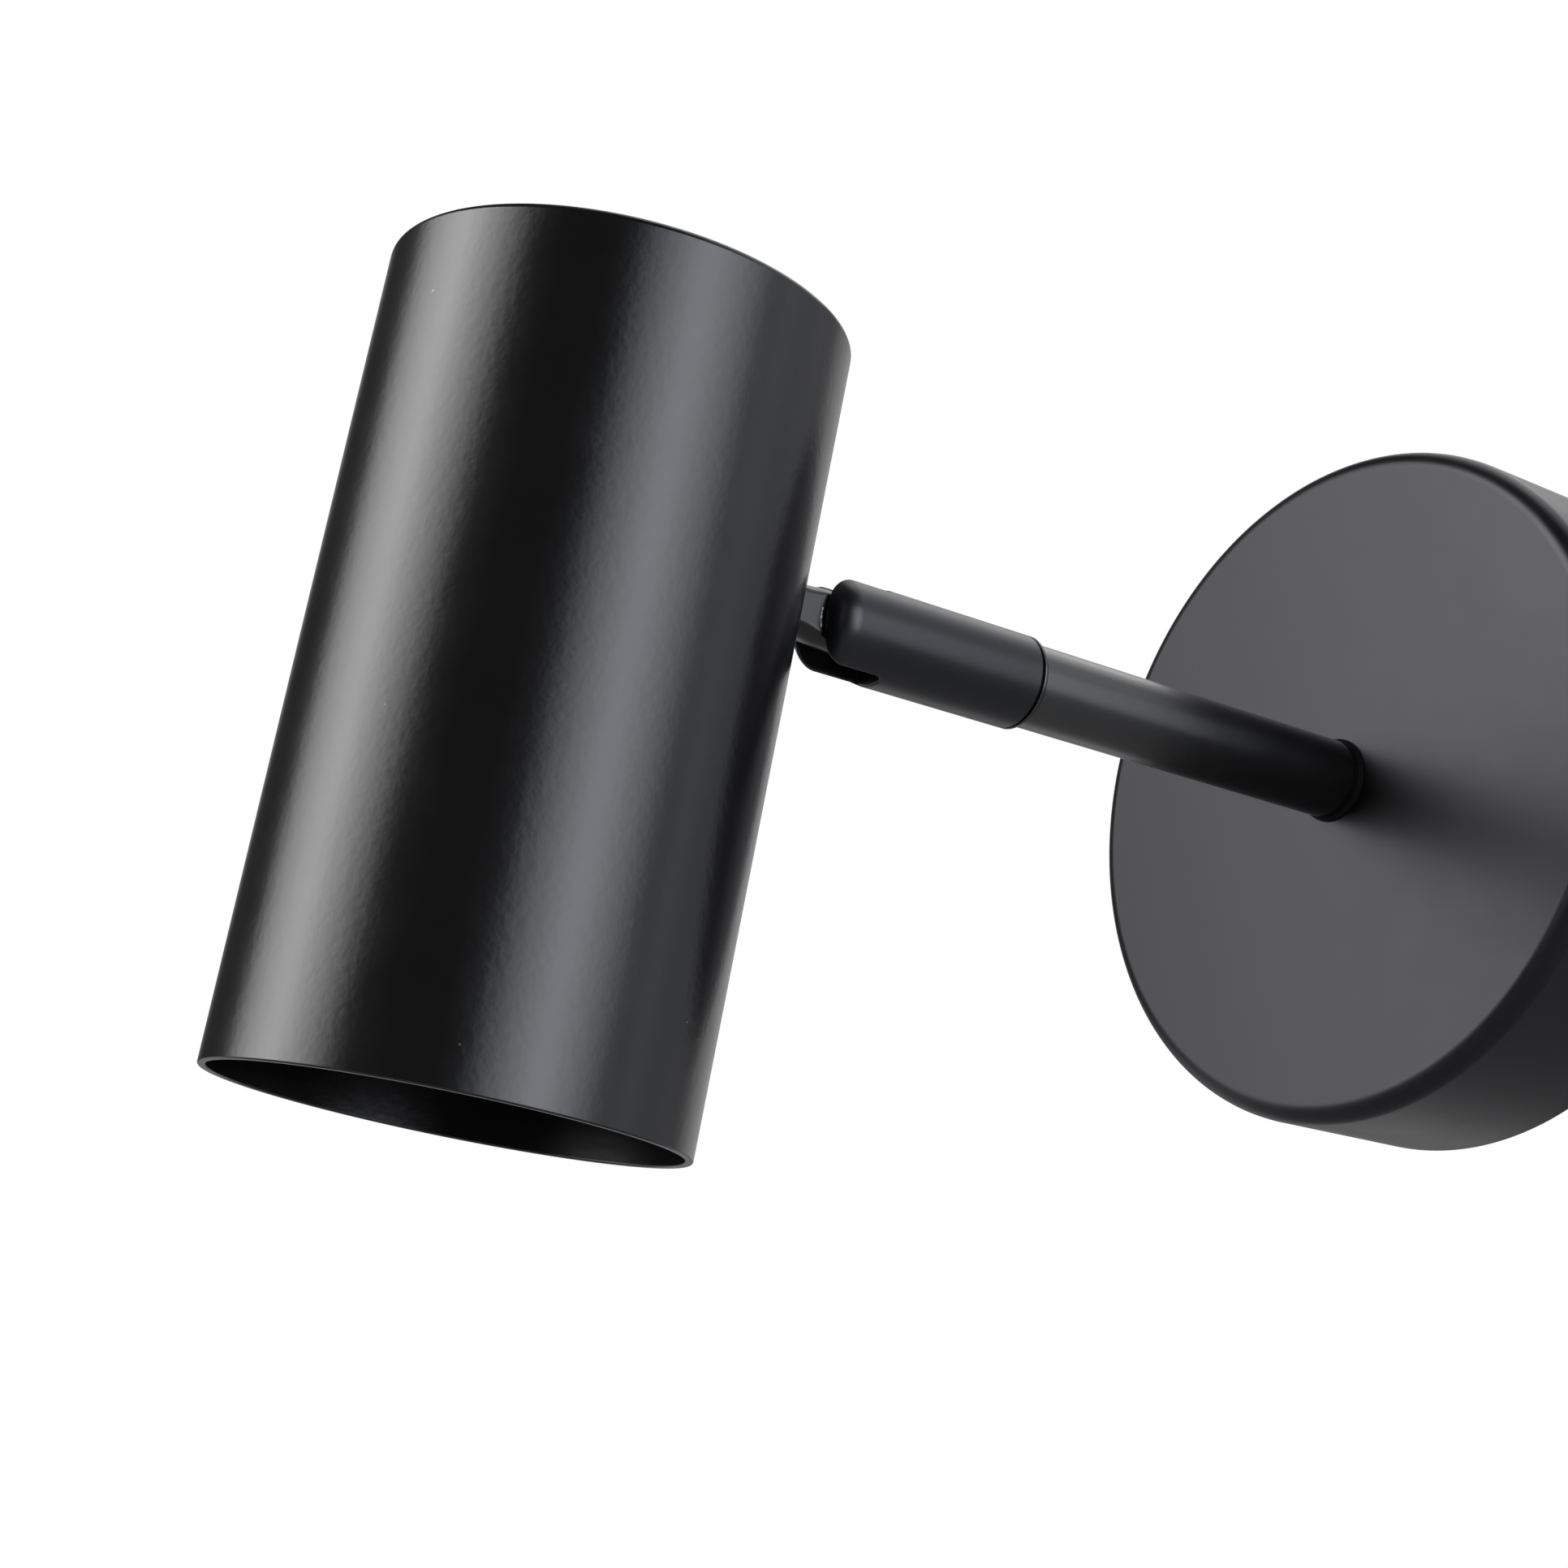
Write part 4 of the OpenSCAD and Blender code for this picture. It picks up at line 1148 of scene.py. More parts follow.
@dataclass(frozen=True)
class Metal(Finish):
    """Bare or plated metal with tool lines and a slightly uneven tone."""

    light: Colour = (0.66, 0.67, 0.68)
    dark: Colour = (0.5, 0.51, 0.53)
    stain: float = 0.45
    smooth: float = 0.24
    rough: float = 0.42
    line: float = 0.12
    depth: float = 0.003
    patch: float = 2.5

    def material(self, effects: Effects) -> bpy.types.Material:
        """Makes the material.

        Args:
            effects: The shared effects.

        Returns:
            The material.
        """
        dresser = Dresser(self.name, effects)
        tool = dresser.effect(effects.tool, Line=self.line, Grain=self.patch)
        grain = dresser.effect(effects.grain, Grain=0.4, Drift=5.0)
        specks = dresser.effect(effects.specks, Spacing=3.0, Share=0.12, Width=0.06)
        tone = grain.outputs["Tone"]
        base = dresser.mix(tone, self.light, self.dark)
        spots = tuple(c * self.stain for c in self.dark)
        stained = dresser.mix(specks.outputs["Mask"], base, spots)
        dresser.feed("Base Color", stained)
        dresser.feed("Roughness", dresser.span(tool.outputs["Tone"], self.smooth, self.rough))
        dresser.set(Metallic=1.0)
        dresser.bump(tool.outputs["Height"], self.depth)
        return dresser.material


@dataclass(frozen=True)
class Moulded(Finish):
    """Moulded, glazed or cast material: plastic, ceramic or rubber."""

    light: Colour = (0.8, 0.78, 0.72)
    dark: Colour = (0.7, 0.68, 0.62)
    smooth: float = 0.35
    rough: float = 0.5
    grain: float = 0.25
    depth: float = 0.004
    glaze: float = 0.0
    soft: float = 0.0
    specked: float = 0.1

    def material(self, effects: Effects) -> bpy.types.Material:
        """Makes the material.

        Args:
            effects: The shared effects.

        Returns:
            The material.
        """
        dresser = Dresser(self.name, effects)
        grain = dresser.effect(effects.grain, Grain=self.grain, Drift=6.0)
        specks = dresser.effect(effects.specks, Spacing=3.5, Share=self.specked, Width=0.05)
        tone = grain.outputs["Tone"]
        base = dresser.mix(tone, self.light, self.dark)
        spots = tuple(0.5 * c + 0.06 for c in self.dark)
        dresser.feed("Base Color", dresser.mix(specks.outputs["Mask"], base, spots))
        dresser.feed("Roughness", dresser.span(tone, self.smooth, self.rough))
        dresser.set(Coat_Weight=self.glaze, Subsurface_Weight=self.soft, Subsurface_Scale=0.6 * MM)
        dresser.bump(grain.outputs["Height"], self.depth)
        return dresser.material


@dataclass(frozen=True)
class Insulation(Finish):
    """Extruded lead insulation, in one colour or with two stripes along it."""

    colour: Colour = (0.2, 0.08, 0.03)
    stripe: Colour | None = None
    stripes: float = 2.0
    stripe_share: float = 0.36
    fade: float = 0.82
    smooth: float = 0.34
    rough: float = 0.46
    depth: float = 0.006

    def material(self, effects: Effects) -> bpy.types.Material:
        """Makes the material.

        Args:
            effects: The shared effects.

        Returns:
            The material.
        """
        dresser = Dresser(self.name, effects)
        grain = dresser.effect(effects.grain, Grain=0.5, Drift=4.0)
        tone = grain.outputs["Tone"]
        base = dresser.mix(tone, self.colour, tuple(c * self.fade for c in self.colour))
        if self.stripe is not None:
            around = dresser.add("ShaderNodeAttribute", attribute_name="around").outputs["Fac"]
            part = dresser.math("FRACT", dresser.math("MULTIPLY", around, self.stripes))
            base = dresser.mix(dresser.math("LESS_THAN", part, self.stripe_share), base, self.stripe)
        dresser.feed("Base Color", base)
        dresser.feed("Roughness", dresser.span(tone, self.smooth, self.rough))
        dresser.bump(grain.outputs["Height"], self.depth)
        return dresser.material


@dataclass(frozen=True)
class ClearMoulding(Finish):
    """Clear moulded lens with faint haze."""

    light: Colour = (0.97, 0.97, 0.95)
    dark: Colour = (0.9, 0.91, 0.9)
    smooth: float = 0.06
    rough: float = 0.14
    depth: float = 0.002
    ior: float = 1.49

    def material(self, effects: Effects) -> bpy.types.Material:
        """Makes the material.

        Args:
            effects: The shared effects.

        Returns:
            The material.
        """
        dresser = Dresser(self.name, effects)
        grain = dresser.effect(effects.grain, Grain=1.2, Drift=8.0)
        tone = grain.outputs["Tone"]
        dresser.feed("Base Color", dresser.mix(tone, self.light, self.dark))
        dresser.feed("Roughness", dresser.span(tone, self.smooth, self.rough))
        dresser.set(IOR=self.ior, Transmission_Weight=1.0)
        dresser.bump(grain.outputs["Height"], self.depth)
        return dresser.material


@dataclass
class Finishes:
    """Every finish on the light, with its material made when it is first asked for."""

    effects: Effects
    made: dict[str, bpy.types.Material] = field(default_factory=dict)

    paint: Finish = PowderCoat("black_powder_coat", Slot.POWDER, ripple=4.0)
    canopy_paint: Finish = PowderCoat(
        "matt_powder_coat", Slot.POWDER, specular=0.54, smooth=0.32, rough=0.35,
        tint=(0.965, 0.955, 1.045),
    )
    knuckle_paint: Finish = PowderCoat(
        "satin_powder_coat", Slot.POWDER, specular=0.75, smooth=0.31, rough=0.34, tint=(0.97, 0.98, 1.03)
    )
    pipe_paint: Finish = PowderCoat(
        "smooth_powder_coat", Slot.POWDER, specular=1.0, ior=1.66, smooth=0.245, rough=0.265
    )
    # Painted shade: a dull copy of the powder coat, so that the arm's foot stays dark where it meets the
    # canopy, in place of the contact shade there
    foot_paint_as_shade: Finish = PowderCoat(
        "dull_powder_coat", Slot.POWDER, specular=0.15, smooth=0.5, rough=0.6
    )
    chipped: Finish = ChippedCoat("chipped_powder_coat", Slot.POWDER)
    dark_steel: Finish = Metal(
        "blackened_steel", Slot.DARK_STEEL, light=(0.05, 0.05, 0.052), dark=(0.03, 0.03, 0.032)
    )
    zinc: Finish = Metal("zinc_plate", Slot.ZINC)
    bright: Finish = Metal(
        "bright_reflector", Slot.ZINC, light=(0.86, 0.86, 0.86), dark=(0.8, 0.8, 0.81),
        smooth=0.06, rough=0.12,
    )
    brass: Finish = Metal("turned_brass", Slot.BRASS, light=(0.72, 0.55, 0.26), dark=(0.58, 0.42, 0.18))
    nylon: Finish = Moulded("nylon", Slot.NYLON, soft=0.15)
    ceramic: Finish = Moulded(
        "glazed_ceramic", Slot.CERAMIC, light=(0.84, 0.82, 0.77), dark=(0.78, 0.76, 0.7),
        smooth=0.12, rough=0.2, glaze=0.4,
    )
    rubber: Finish = Moulded(
        "black_rubber", Slot.RUBBER, light=(0.012, 0.012, 0.012), dark=(0.02, 0.02, 0.02),
        smooth=0.6, rough=0.75, specked=0.25,
    )
    casing: Finish = Moulded(
        "lamp_casing", Slot.CASING, light=(0.82, 0.82, 0.8), dark=(0.76, 0.76, 0.75),
        smooth=0.3, rough=0.42,
    )
    phosphor: Finish = Moulded(
        "light_source", Slot.CASING, light=(0.8, 0.62, 0.12), dark=(0.7, 0.54, 0.1),
        smooth=0.4, rough=0.6,
    )
    lens: Finish = ClearMoulding("clear_lens", Slot.GLASS)
    brown: Finish = Insulation("brown_lead", Slot.BROWN, (0.16, 0.06, 0.025))
    blue: Finish = Insulation("blue_lead", Slot.BLUE, (0.03, 0.12, 0.42))
    earth: Finish = Insulation("earth_lead_cover", Slot.EARTH, (0.06, 0.32, 0.06), (0.72, 0.66, 0.05))

    def material(self, finish: Finish) -> bpy.types.Material:
        """The material of a finish.

        Args:
            finish: The finish.

        Returns:
            Its material, which is made only once.
        """
        if finish.name not in self.made:
            self.made[finish.name] = finish.material(self.effects)
        return self.made[finish.name]


# Sub-assemblies


@dataclass
class Workshop:
    """What every sub-assembly builds with."""

    finishes: Finishes
    ring: Recipe
    scatter: Recipe
    lead: Recipe


@dataclass
class Assembly:
    """A sub-assembly: it builds its pieces and hands each to its body."""

    shop: Workshop

    def build(self) -> None:
        """Builds the pieces."""
        raise NotImplementedError

    def fit(self, piece: Piece, body: Body, finish: Finish, nodes: Iterable[str] = ()) -> None:
        """Dresses a piece and fixes it to its body.

        Args:
            piece: The piece.
            body: The body that it moves with.
            finish: Its finish.
            nodes: The model parts that it stands for.
        """
        piece.data.materials.clear()
        piece.data.materials.append(self.shop.finishes.material(finish))
        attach(piece, body.value)
        nodes = tuple(nodes)
        if nodes:
            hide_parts(*nodes)
        log.info("%s on %s, %d faces", piece.name, body.value, len(piece.data.polygons))

    def ease(self, node: str, name: str, edge: float, body: Body, finish: Finish) -> None:
        """Fits a model part whose edges only need breaking, as a piece that stands for it."""
        self.fit(eased_node(node, name, edge), body, finish, [node])

    def dress(self, node: str, finish: Finish) -> None:
        """Gives a model part its finish.

        Args:
            node: Name of the model part.
            finish: The finish.
        """
        material = self.shop.finishes.material(finish)
        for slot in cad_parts[node].material_slots:
            slot.material = material
        log.info("%s keeps its model shape, in %s", node, finish.name)


@dataclass
class WallCanopy(Assembly):
    """The round canopy with its two side screws."""

    diameter: float = 105.0
    depth: float = LAYOUT.canopy_depth
    wall: float = 1.2
    edge: float = 3.0
    centre_hole: float = 10.3
    hole_edge: float = 0.1
    screw_height: float = LAYOUT.side_height
    screw_hole: float = 4.4

    def build(self) -> None:
        """Builds the canopy and its screws."""
        finishes = self.shop.finishes
        outer, inner, lip = self.diameter / 2, self.diameter / 2 - self.wall, self.wall / 4
        floor, hole = self.depth - self.wall, self.centre_hole / 2
        outline = eased(
            [
                (outer, 0.0, lip),
                (outer, self.depth, self.edge),
                (hole, self.depth, self.hole_edge),
                (hole, floor, self.hole_edge),
                (inner, floor, self.edge - self.wall),
                (inner, 0.0, lip),
            ],
            steps=10,
        )
        shell = new_object("canopy_shell", turned(outline, 256).mesh("canopy_shell", LAYOUT.wall()))
        across = Seat((0, -self.screw_height, 0), (0, 1, 0), (0, 0, 1), (1, 0, 0))
        pierced(shell, drill(self.screw_hole, -outer - 5, outer + 5, across))
        shaded(shell)
        self.fit(shell, Body.WALL, finishes.canopy_paint, ["canopy"])
        self.ease("canopy_screws", "side_screws", 0.12, Body.WALL, finishes.dark_steel)


@dataclass
class WallBracket(Assembly):
    """The bent strap on the wall, with its earth screw and tag."""

    strap_half: float = 50.62
    strap_width: float = 22.0
    thickness: float = 1.5
    tab_width: float = 14.0
    tab_height: float = 14.0
    bend: float = 1.3
    relief: float = 0.4
    corner: float = 1.2
    tab_corner: float = 0.8
    edge: float = 0.15
    slot_x: float = 36.0
    slot_width: float = 5.0
    slot_length: float = 10.0
    entry: float = 12.0
    earth_x: float = LAYOUT.earth_x
    earth_hole: float = 4.1
    block_x: float = LAYOUT.block_x
    block_hole: float = 3.1
    side_height: float = LAYOUT.side_height
    side_hole: float = 4.1

    def build(self) -> None:
        """Builds the strap and dresses what stands on it."""
        finishes = self.shop.finishes
        self.fit(self.strap(), Body.WALL, finishes.zinc, ["wall_bracket", "bracket_tabs"])
        self.ease("earth_screw", "earth_screw_and_washer", 0.1, Body.WALL, finishes.brass)
        self.ease("earth_tag", "earth_ring_tag", 0.08, Body.WALL, finishes.zinc)

    def strap(self) -> Piece:
        """The strap as one bent sheet.

        Returns:
            The strap.
        """
        t, half, w, tab = self.thickness, self.strap_half, self.strap_width / 2, self.tab_width / 2
        relief, slot_r = self.relief, self.slot_width / 2
        outer = Solid.block((-half, -FAR, 0), (half, FAR, FAR), self.bend)
        inner_bend = max(self.bend - t, 0) + relief
        inner = Solid.block((-half + t, -FAR, t), (half - t, FAR, FAR), inner_bend)
        wide = Solid.block((-half + t + relief, -w, -FAR), (half - t - relief, w, t), self.corner)
        narrow = Solid.block((-FAR, -tab, -FAR), (FAR, tab, self.tab_height), self.tab_corner)
        body = outer.cut(inner).common(wide.plus(narrow), self.edge)
        run, deep = (self.slot_length - self.slot_width) / 2, 9
        bridge = Solid.block((-run, -slot_r, -deep), (run, slot_r, deep))
        for middle in (-self.slot_x, self.slot_x):
            for end in (-run, run):
                body = body.cut(Solid.rod(slot_r).shifted((middle + end, 0, 0)), self.edge)
            body = body.cut(bridge.shifted((middle, 0, 0)))
        for x, hole in (
            (0.0, self.entry),
            (self.earth_x, self.earth_hole),
            (-self.block_x, self.block_hole),
        ):
            body = body.cut(Solid.rod(hole / 2).shifted((x, 0, 0)), self.edge)
        across, tabs_from = Solid.rod(self.side_hole / 2, axis=0).shifted((0, 0, self.side_height)), 40
        tab_holes = Solid(lambda x, y, z: np.maximum(across.distance(x, y, z), tabs_from - np.abs(x)))
        body = body.cut(tab_holes, self.edge)
        steps = (
            ticks((-51.2, -47.8, 0.25), (-47.8, 47.8, 0.5), (47.8, 51.2, 0.25)),
            ticks((-11.4, -10.6, 0.2), (-10.6, 10.6, 0.45), (10.6, 11.4, 0.2)),
            ticks((-0.4, 2.0, 0.2), (2.0, 14.4, 0.45)),
        )
        return body.skin("wall_strap", steps, LAYOUT.wall())


@dataclass
class Terminals(Assembly):
    """The terminal block and its metal parts."""

    def build(self) -> None:
        """Builds the block and dresses its inserts and screws."""
        finishes = self.shop.finishes
        self.ease("terminal_block", "connector_block", 0.25, Body.WALL, finishes.nylon)
        self.dress("terminal_inserts", finishes.brass)
        self.ease("terminal_screws", "clamp_screws", 0.08, Body.WALL, finishes.brass)
        self.ease("terminal_fixing_screw", "block_screw", 0.1, Body.WALL, finishes.zinc)


@dataclass
class Arm(Assembly):
    """The arm tube, its two end fittings, and the nut that holds it to the canopy."""

    tube_r: float = 6.0
    bore_r: float = 5.0
    tube_end: float = 62.5
    seam: float = 0.02
    tube_edge: float = 0.06
    taper: float = 2.0
    flare_r: float = 6.45
    flare: float = 0.9
    flare_wall: float = 0.35
    flare_round: float = 0.25
    shank_r: float = 4.95
    shank_len: float = 11.0
    shank_plain: float = 1.0
    pitch: float = 1.0
    thread_depth: float = 0.45
    passage_r: float = LAYOUT.passage_r
    grip: float = 10.0
    slope: float = 0.72
    collar_r: float = 6.75
    collar_face: float = LAYOUT.collar_face
    spigot_r: float = 4.45
    spigot_len: float = 12.8
    groove_at: float = 6.5
    groove_half: float = 0.9
    groove_depth: float = 1.0
    washer_r: float = 6.35
    washer_bore_r: float = 4.75
    washer_t: float = 0.3

    def build(self) -> None:
        """Builds the arm from the canopy to the swivel."""
        finishes = self.shop.finishes
        # The foot's dull coat is painted shade where the arm meets the canopy
        self.fit(self.foot(), Body.WALL, finishes.foot_paint_as_shade, ["base_fitting"])
        self.fit(self.tube(), Body.WALL, finishes.pipe_paint, ["arm_tube"])
        self.fit(self.shaft(), Body.WALL, finishes.pipe_paint, ["swivel_spigot"])
        self.fit(self.washer(), Body.WALL, finishes.rubber, ["swivel_washer"])
        self.ease("arm_nut", "arm_hex_nut", 0.12, Body.WALL, finishes.zinc)
        self.ease("arm_lock_washer", "arm_star_washer", 0.08, Body.WALL, finishes.zinc)

    def foot(self) -> Piece:
        """The fitting that stands on the canopy, with its threaded shank behind.

        Returns:
            The fitting.
        """
        core, ramp = self.shank_r - self.thread_depth, 0.4
        outline = eased(
            [
                (self.passage_r, -self.shank_len, 0.15),
                (core, -self.shank_len, 0.2),
                (core, -self.shank_plain - ramp, 0.1),
                (self.shank_r, -self.shank_plain, 0.1),
                (self.shank_r, 0.0, 0.0),
                (self.flare_r, 0.0, 0.1),
                (self.flare_r, self.flare_wall, self.flare_round),
                (self.tube_r, self.flare, self.flare_round),
                (self.tube_r, self.taper, 0.0),
                (self.shank_r, self.taper, 0.0),
                (self.shank_r, self.taper + self.grip, 0.2),
                (self.passage_r, self.taper + self.grip, 0.2),
            ]
        )
        low, high = 0.7 - self.shank_len, -self.shank_plain - 0.3
        ridge = thread(self.shank_r, self.pitch, low, high, self.thread_depth)
        return turned(outline, 160).joined(ridge).piece("arm_foot", LAYOUT.arm())

    def tube(self) -> Piece:
        """The plain tube.

        Returns:
            The tube.
        """
        low, high, edge = self.taper + self.seam, self.tube_end - self.seam, self.tube_edge
        outline = eased(
            [
                (self.tube_r, low, edge),
                (self.tube_r, high, edge),
                (self.bore_r, high, edge),
                (self.bore_r, low, edge),
            ]
        )
        return turned(outline, 192).piece("arm_pipe", LAYOUT.arm())

    def shaft(self) -> Piece:
        """The fitting at the tube's outer end, with the shaft that the knuckle turns on.

        Returns:
            The fitting.
        """
        face, groove_r = self.collar_face, self.spigot_r - self.groove_depth
        groove = face + self.washer_t + self.seam + self.groove_at
        low, high = groove - self.groove_half, groove + self.groove_half
        outline = eased(
            [
                (self.passage_r, self.tube_end - self.grip, 0.2),
                (self.shank_r, self.tube_end - self.grip, 0.2),
                (self.shank_r, self.tube_end, 0.0),
                (self.tube_r, self.tube_end, 0.03),
                (self.collar_r, self.tube_end + self.slope, 0.12),
                (self.collar_r, face, 0.1),
                (self.spigot_r, face, 0.0),
                (self.spigot_r, low, 0.1),
                (groove_r, low, 0.1),
                (groove_r, high, 0.1),
                (self.spigot_r, high, 0.1),
                (self.spigot_r, face + self.spigot_len, 0.3),
                (self.passage_r, face + self.spigot_len, 0.3),
            ]
        )
        return turned(outline, 192).piece("swivel_shaft", LAYOUT.arm())

    def washer(self) -> Piece:
        """The thin ring between the collar and the knuckle.

        Returns:
            The ring.
        """
        low, high = self.seam, self.washer_t
        outline = eased(
            [
                (self.washer_r, low, 0.1),
                (self.washer_r, high, 0.1),
                (self.washer_bore_r, high, 0.05),
                (self.washer_bore_r, low, 0.05),
            ]
        )
        return turned(outline, 128).piece("swivel_ring", LAYOUT.arm(self.collar_face))


@dataclass
class Knuckle(Assembly):
    """The slotted sleeve that turns on the arm and carries the tongue."""

    start: float = 63.92
    length: float = 34.8
    r: float = 6.75
    nose: float = 3.6
    bore_r: float = 4.5
    bore_depth: float = 13.2
    passage_r: float = LAYOUT.passage_r
    slot_half: float = 3.1
    slot_floor: float = 24.4
    slot_round: float = 1.2
    edge: float = 0.28
    pivot: float = 28.6
    pivot_hole_r: float = 1.32
    pivot_seat: float = 4.7
    sink_r: float = 2.6
    sink_floor: float = 4.6
    grub_at: float = 6.5
    grub_hole_r: float = 1.55

    def build(self) -> None:
        """Builds the sleeve and its small parts."""
        finishes = self.shop.finishes
        self.fit(self.sleeve(), Body.KNUCKLE, finishes.knuckle_paint, ["knuckle_fork"])
        self.ease("swivel_grub_screw", "swivel_set_screw", 0.08, Body.KNUCKLE, finishes.dark_steel)
        self.ease("pivot_screw", "pivot_bolt", 0.1, Body.KNUCKLE, finishes.dark_steel)
        self.dress("pivot_pin", finishes.zinc)
        self.dress("friction_washers", finishes.zinc)

    def sleeve(self) -> Piece:
        """The slotted sleeve with its rounded nose.

        Returns:
            The sleeve.
        """
        body = Solid.rod(self.r, -FAR, self.length, self.nose).common(Solid.rod(FAR, 0.0, FAR), 0.2)
        body = body.cut(Solid.rod(self.bore_r, -FAR, self.bore_depth), 0.15)
        body = body.cut(Solid.rod(self.passage_r))
        slot = Solid(
            lambda x, y, z: meet(np.abs(x) - self.slot_half, self.slot_floor - z, self.slot_round)
        )
        near_end, sink_end, grub_end = self.pivot_seat, -self.sink_floor, 0.0
        holes = (
            (self.pivot, self.pivot_hole_r, near_end, 0.05),
            (self.pivot, self.sink_r, sink_end, 0.2),
            (self.grub_at, self.grub_hole_r, grub_end, 0.15),
        )
        body = body.cut(slot, self.edge)
        for at, r, end, edge in holes:
            body = body.cut(Solid.rod(r, -FAR, end, axis=0).shifted((0, 0, at)), edge)
        side = ticks((-7.0, 7.0, 0.21))
        along = ticks(
            (-0.4, 0.8, 0.2), (0.8, 4.6, 0.6), (4.6, 8.4, 0.25), (8.4, 23.6, 0.6), (23.6, 35.1, 0.2)
        )
        return body.skin("knuckle_sleeve", (side, side, along), LAYOUT.arm(self.start))


@dataclass
class Tongue(Assembly):
    """The flatted tongue that tilts in the knuckle, with its flange and hollow stud."""

    r: float = 4.0
    waist_r: float = 3.6
    waist_from: float = 5.0
    waist_run: float = 4.0
    flat: float = 2.8
    neck: float = 12.1
    flange_r: float = 5.0
    flange_t: float = 0.7
    channel_half: Pair = (1.1, 2.2)
    pivot_hole_r: float = 1.35
    stud_r: float = 4.0
    stud_bore_r: float = 2.2
    stud_end: float = 22.26
    pitch: float = 1.0
    thread_depth: float = 0.4
    head_r: float = LAYOUT.head_d / 2
    saddle_r: float = 5.5
    saddle_hole_r: float = 4.15
    seam: float = 0.02

    def build(self) -> None:
        """Builds the tongue, its stud and the washer on the head."""
        finishes = self.shop.finishes
        self.fit(self.tongue(), Body.HEAD, finishes.chipped, ["knuckle_tongue"])
        self.fit(self.stud(), Body.HEAD, finishes.zinc)
        self.fit(self.saddle(), Body.HEAD, finishes.rubber, ["saddle_washer"])

    def tongue(self) -> Piece:
        """The round eye with its two flats, the neck and the flange.

        Returns:
            The tongue.
        """
        narrowing = self.r - self.waist_r

        def neck_distance(x: np.ndarray, y: np.ndarray, z: np.ndarray) -> np.ndarray:
            """The distance to the neck, which narrows towards the head."""
            share = np.clip((z - self.waist_from) / self.waist_run, 0, 1)
            return np.hypot(x, y) - self.r + narrowing * share * share * (3 - 2 * share)

        neck = Solid(neck_distance).common(Solid.rod(FAR, 0.0, self.neck + 0.3))
        sides = Solid(lambda x, y, z: np.abs(x) - self.flat)
        body = Solid.ball(self.r).plus(neck).common(sides, 0.3)
        top = self.neck + self.flange_t
        body = body.plus(Solid.rod(self.flange_r, self.neck, top, 0.2), 0.15)
        half_x, half_y = self.channel_half
        body = body.cut(Solid.block((-half_x, -half_y, -9), (half_x, half_y, top + 1)), 0.15)
        body = body.cut(Solid.rod(self.pivot_hole_r, axis=0), 0.1)
        side = ticks((-5.3, 5.3, 0.17))
        along = ticks((-4.4, 13.1, 0.17))
        return body.skin("tilt_tongue", (side, side, along), LAYOUT.tongue())

    def stud(self) -> Piece:
        """The hollow threaded stud that goes into the head.

        Returns:
            The stud.
        """
        low, high, bore = self.neck + self.flange_t, self.stud_end, self.stud_bore_r
        core, overlap = self.stud_r - self.thread_depth, 0.3
        outline = eased(
            [
                (bore, low - overlap, 0.0),
                (core, low - overlap, 0.0),
                (core, high, 0.2),
                (bore, high, 0.2),
            ]
        )
        ridge = thread(self.stud_r, self.pitch, low + 0.3, high - 0.5, self.thread_depth)
        return turned(outline, 96).joined(ridge).piece("hollow_stud", LAYOUT.tongue())

    def saddle(self) -> Piece:
        """The washer whose one face fits the round head.

        Returns:
            The washer.
        """
        low = self.neck + self.flange_t + self.seam
        axis = LAYOUT.head_axis - LAYOUT.pivot_pos
        head = Solid(lambda x, y, z: np.hypot(x, z - axis) - self.head_r - self.seam)
        body = Solid.rod(self.saddle_r, low, low + 3, 0.12).cut(head, 0.1)
        body = body.cut(Solid.rod(self.saddle_hole_r), 0.1)
        side = ticks((-5.8, 5.8, 0.2))
        along = ticks((low - 0.2, low + 1.8, 0.12))
        return body.skin("saddle_ring", (side, side, along), LAYOUT.tongue())


@dataclass
class HeadShell(Assembly):
    """The cylindrical head, with what clamps it to the stud."""

    diameter: float = LAYOUT.head_d
    length: float = 105.0
    wall: float = 1.0
    edge: float = 1.0
    inner_edge: float = 0.3
    stud_hole: float = 8.4

    def build(self) -> None:
        """Builds the shell and the clamped parts."""
        finishes = self.shop.finishes
        outer, inner, lip = self.diameter / 2, self.diameter / 2 - self.wall, self.wall / 4
        roof = self.length - self.wall
        outline = eased(
            [
                (0.0, self.length, 0.0),
                (outer, self.length, self.edge),
                (outer, 0.0, lip),
                (inner, 0.0, lip),
                (inner, roof, self.inner_edge),
                (0.0, roof, 0.0),
            ],
            closed=False,
            steps=8,
        )
        shell = new_object("head_cylinder", turned(outline, 256).mesh("head_cylinder", LAYOUT.head()))
        pierced(shell, drill(self.stud_hole, outer - 10, outer + 10, LAYOUT.stud()))
        shaded(shell)
        self.fit(shell, Body.HEAD, finishes.paint, ["head_shell"])
        self.ease("stud_nut", "stud_hex_nut", 0.12, Body.HEAD, finishes.zinc)
        self.ease("stud_lock_washer", "stud_star_washer", 0.08, Body.HEAD, finishes.zinc)


@dataclass
class LampHolder(Assembly):
    """The bent strip and the ceramic holder that it carries."""

    def build(self) -> None:
        """Builds the strip and the holder."""
        finishes = self.shop.finishes
        self.ease("holder_bracket", "holder_strip", 0.12, Body.HEAD, finishes.zinc)
        self.ease("lampholder", "ceramic_holder", 0.2, Body.HEAD, finishes.ceramic)
        self.ease("holder_screws", "holder_fixing_screws", 0.08, Body.HEAD, finishes.zinc)
        self.dress("holder_contacts", finishes.brass)


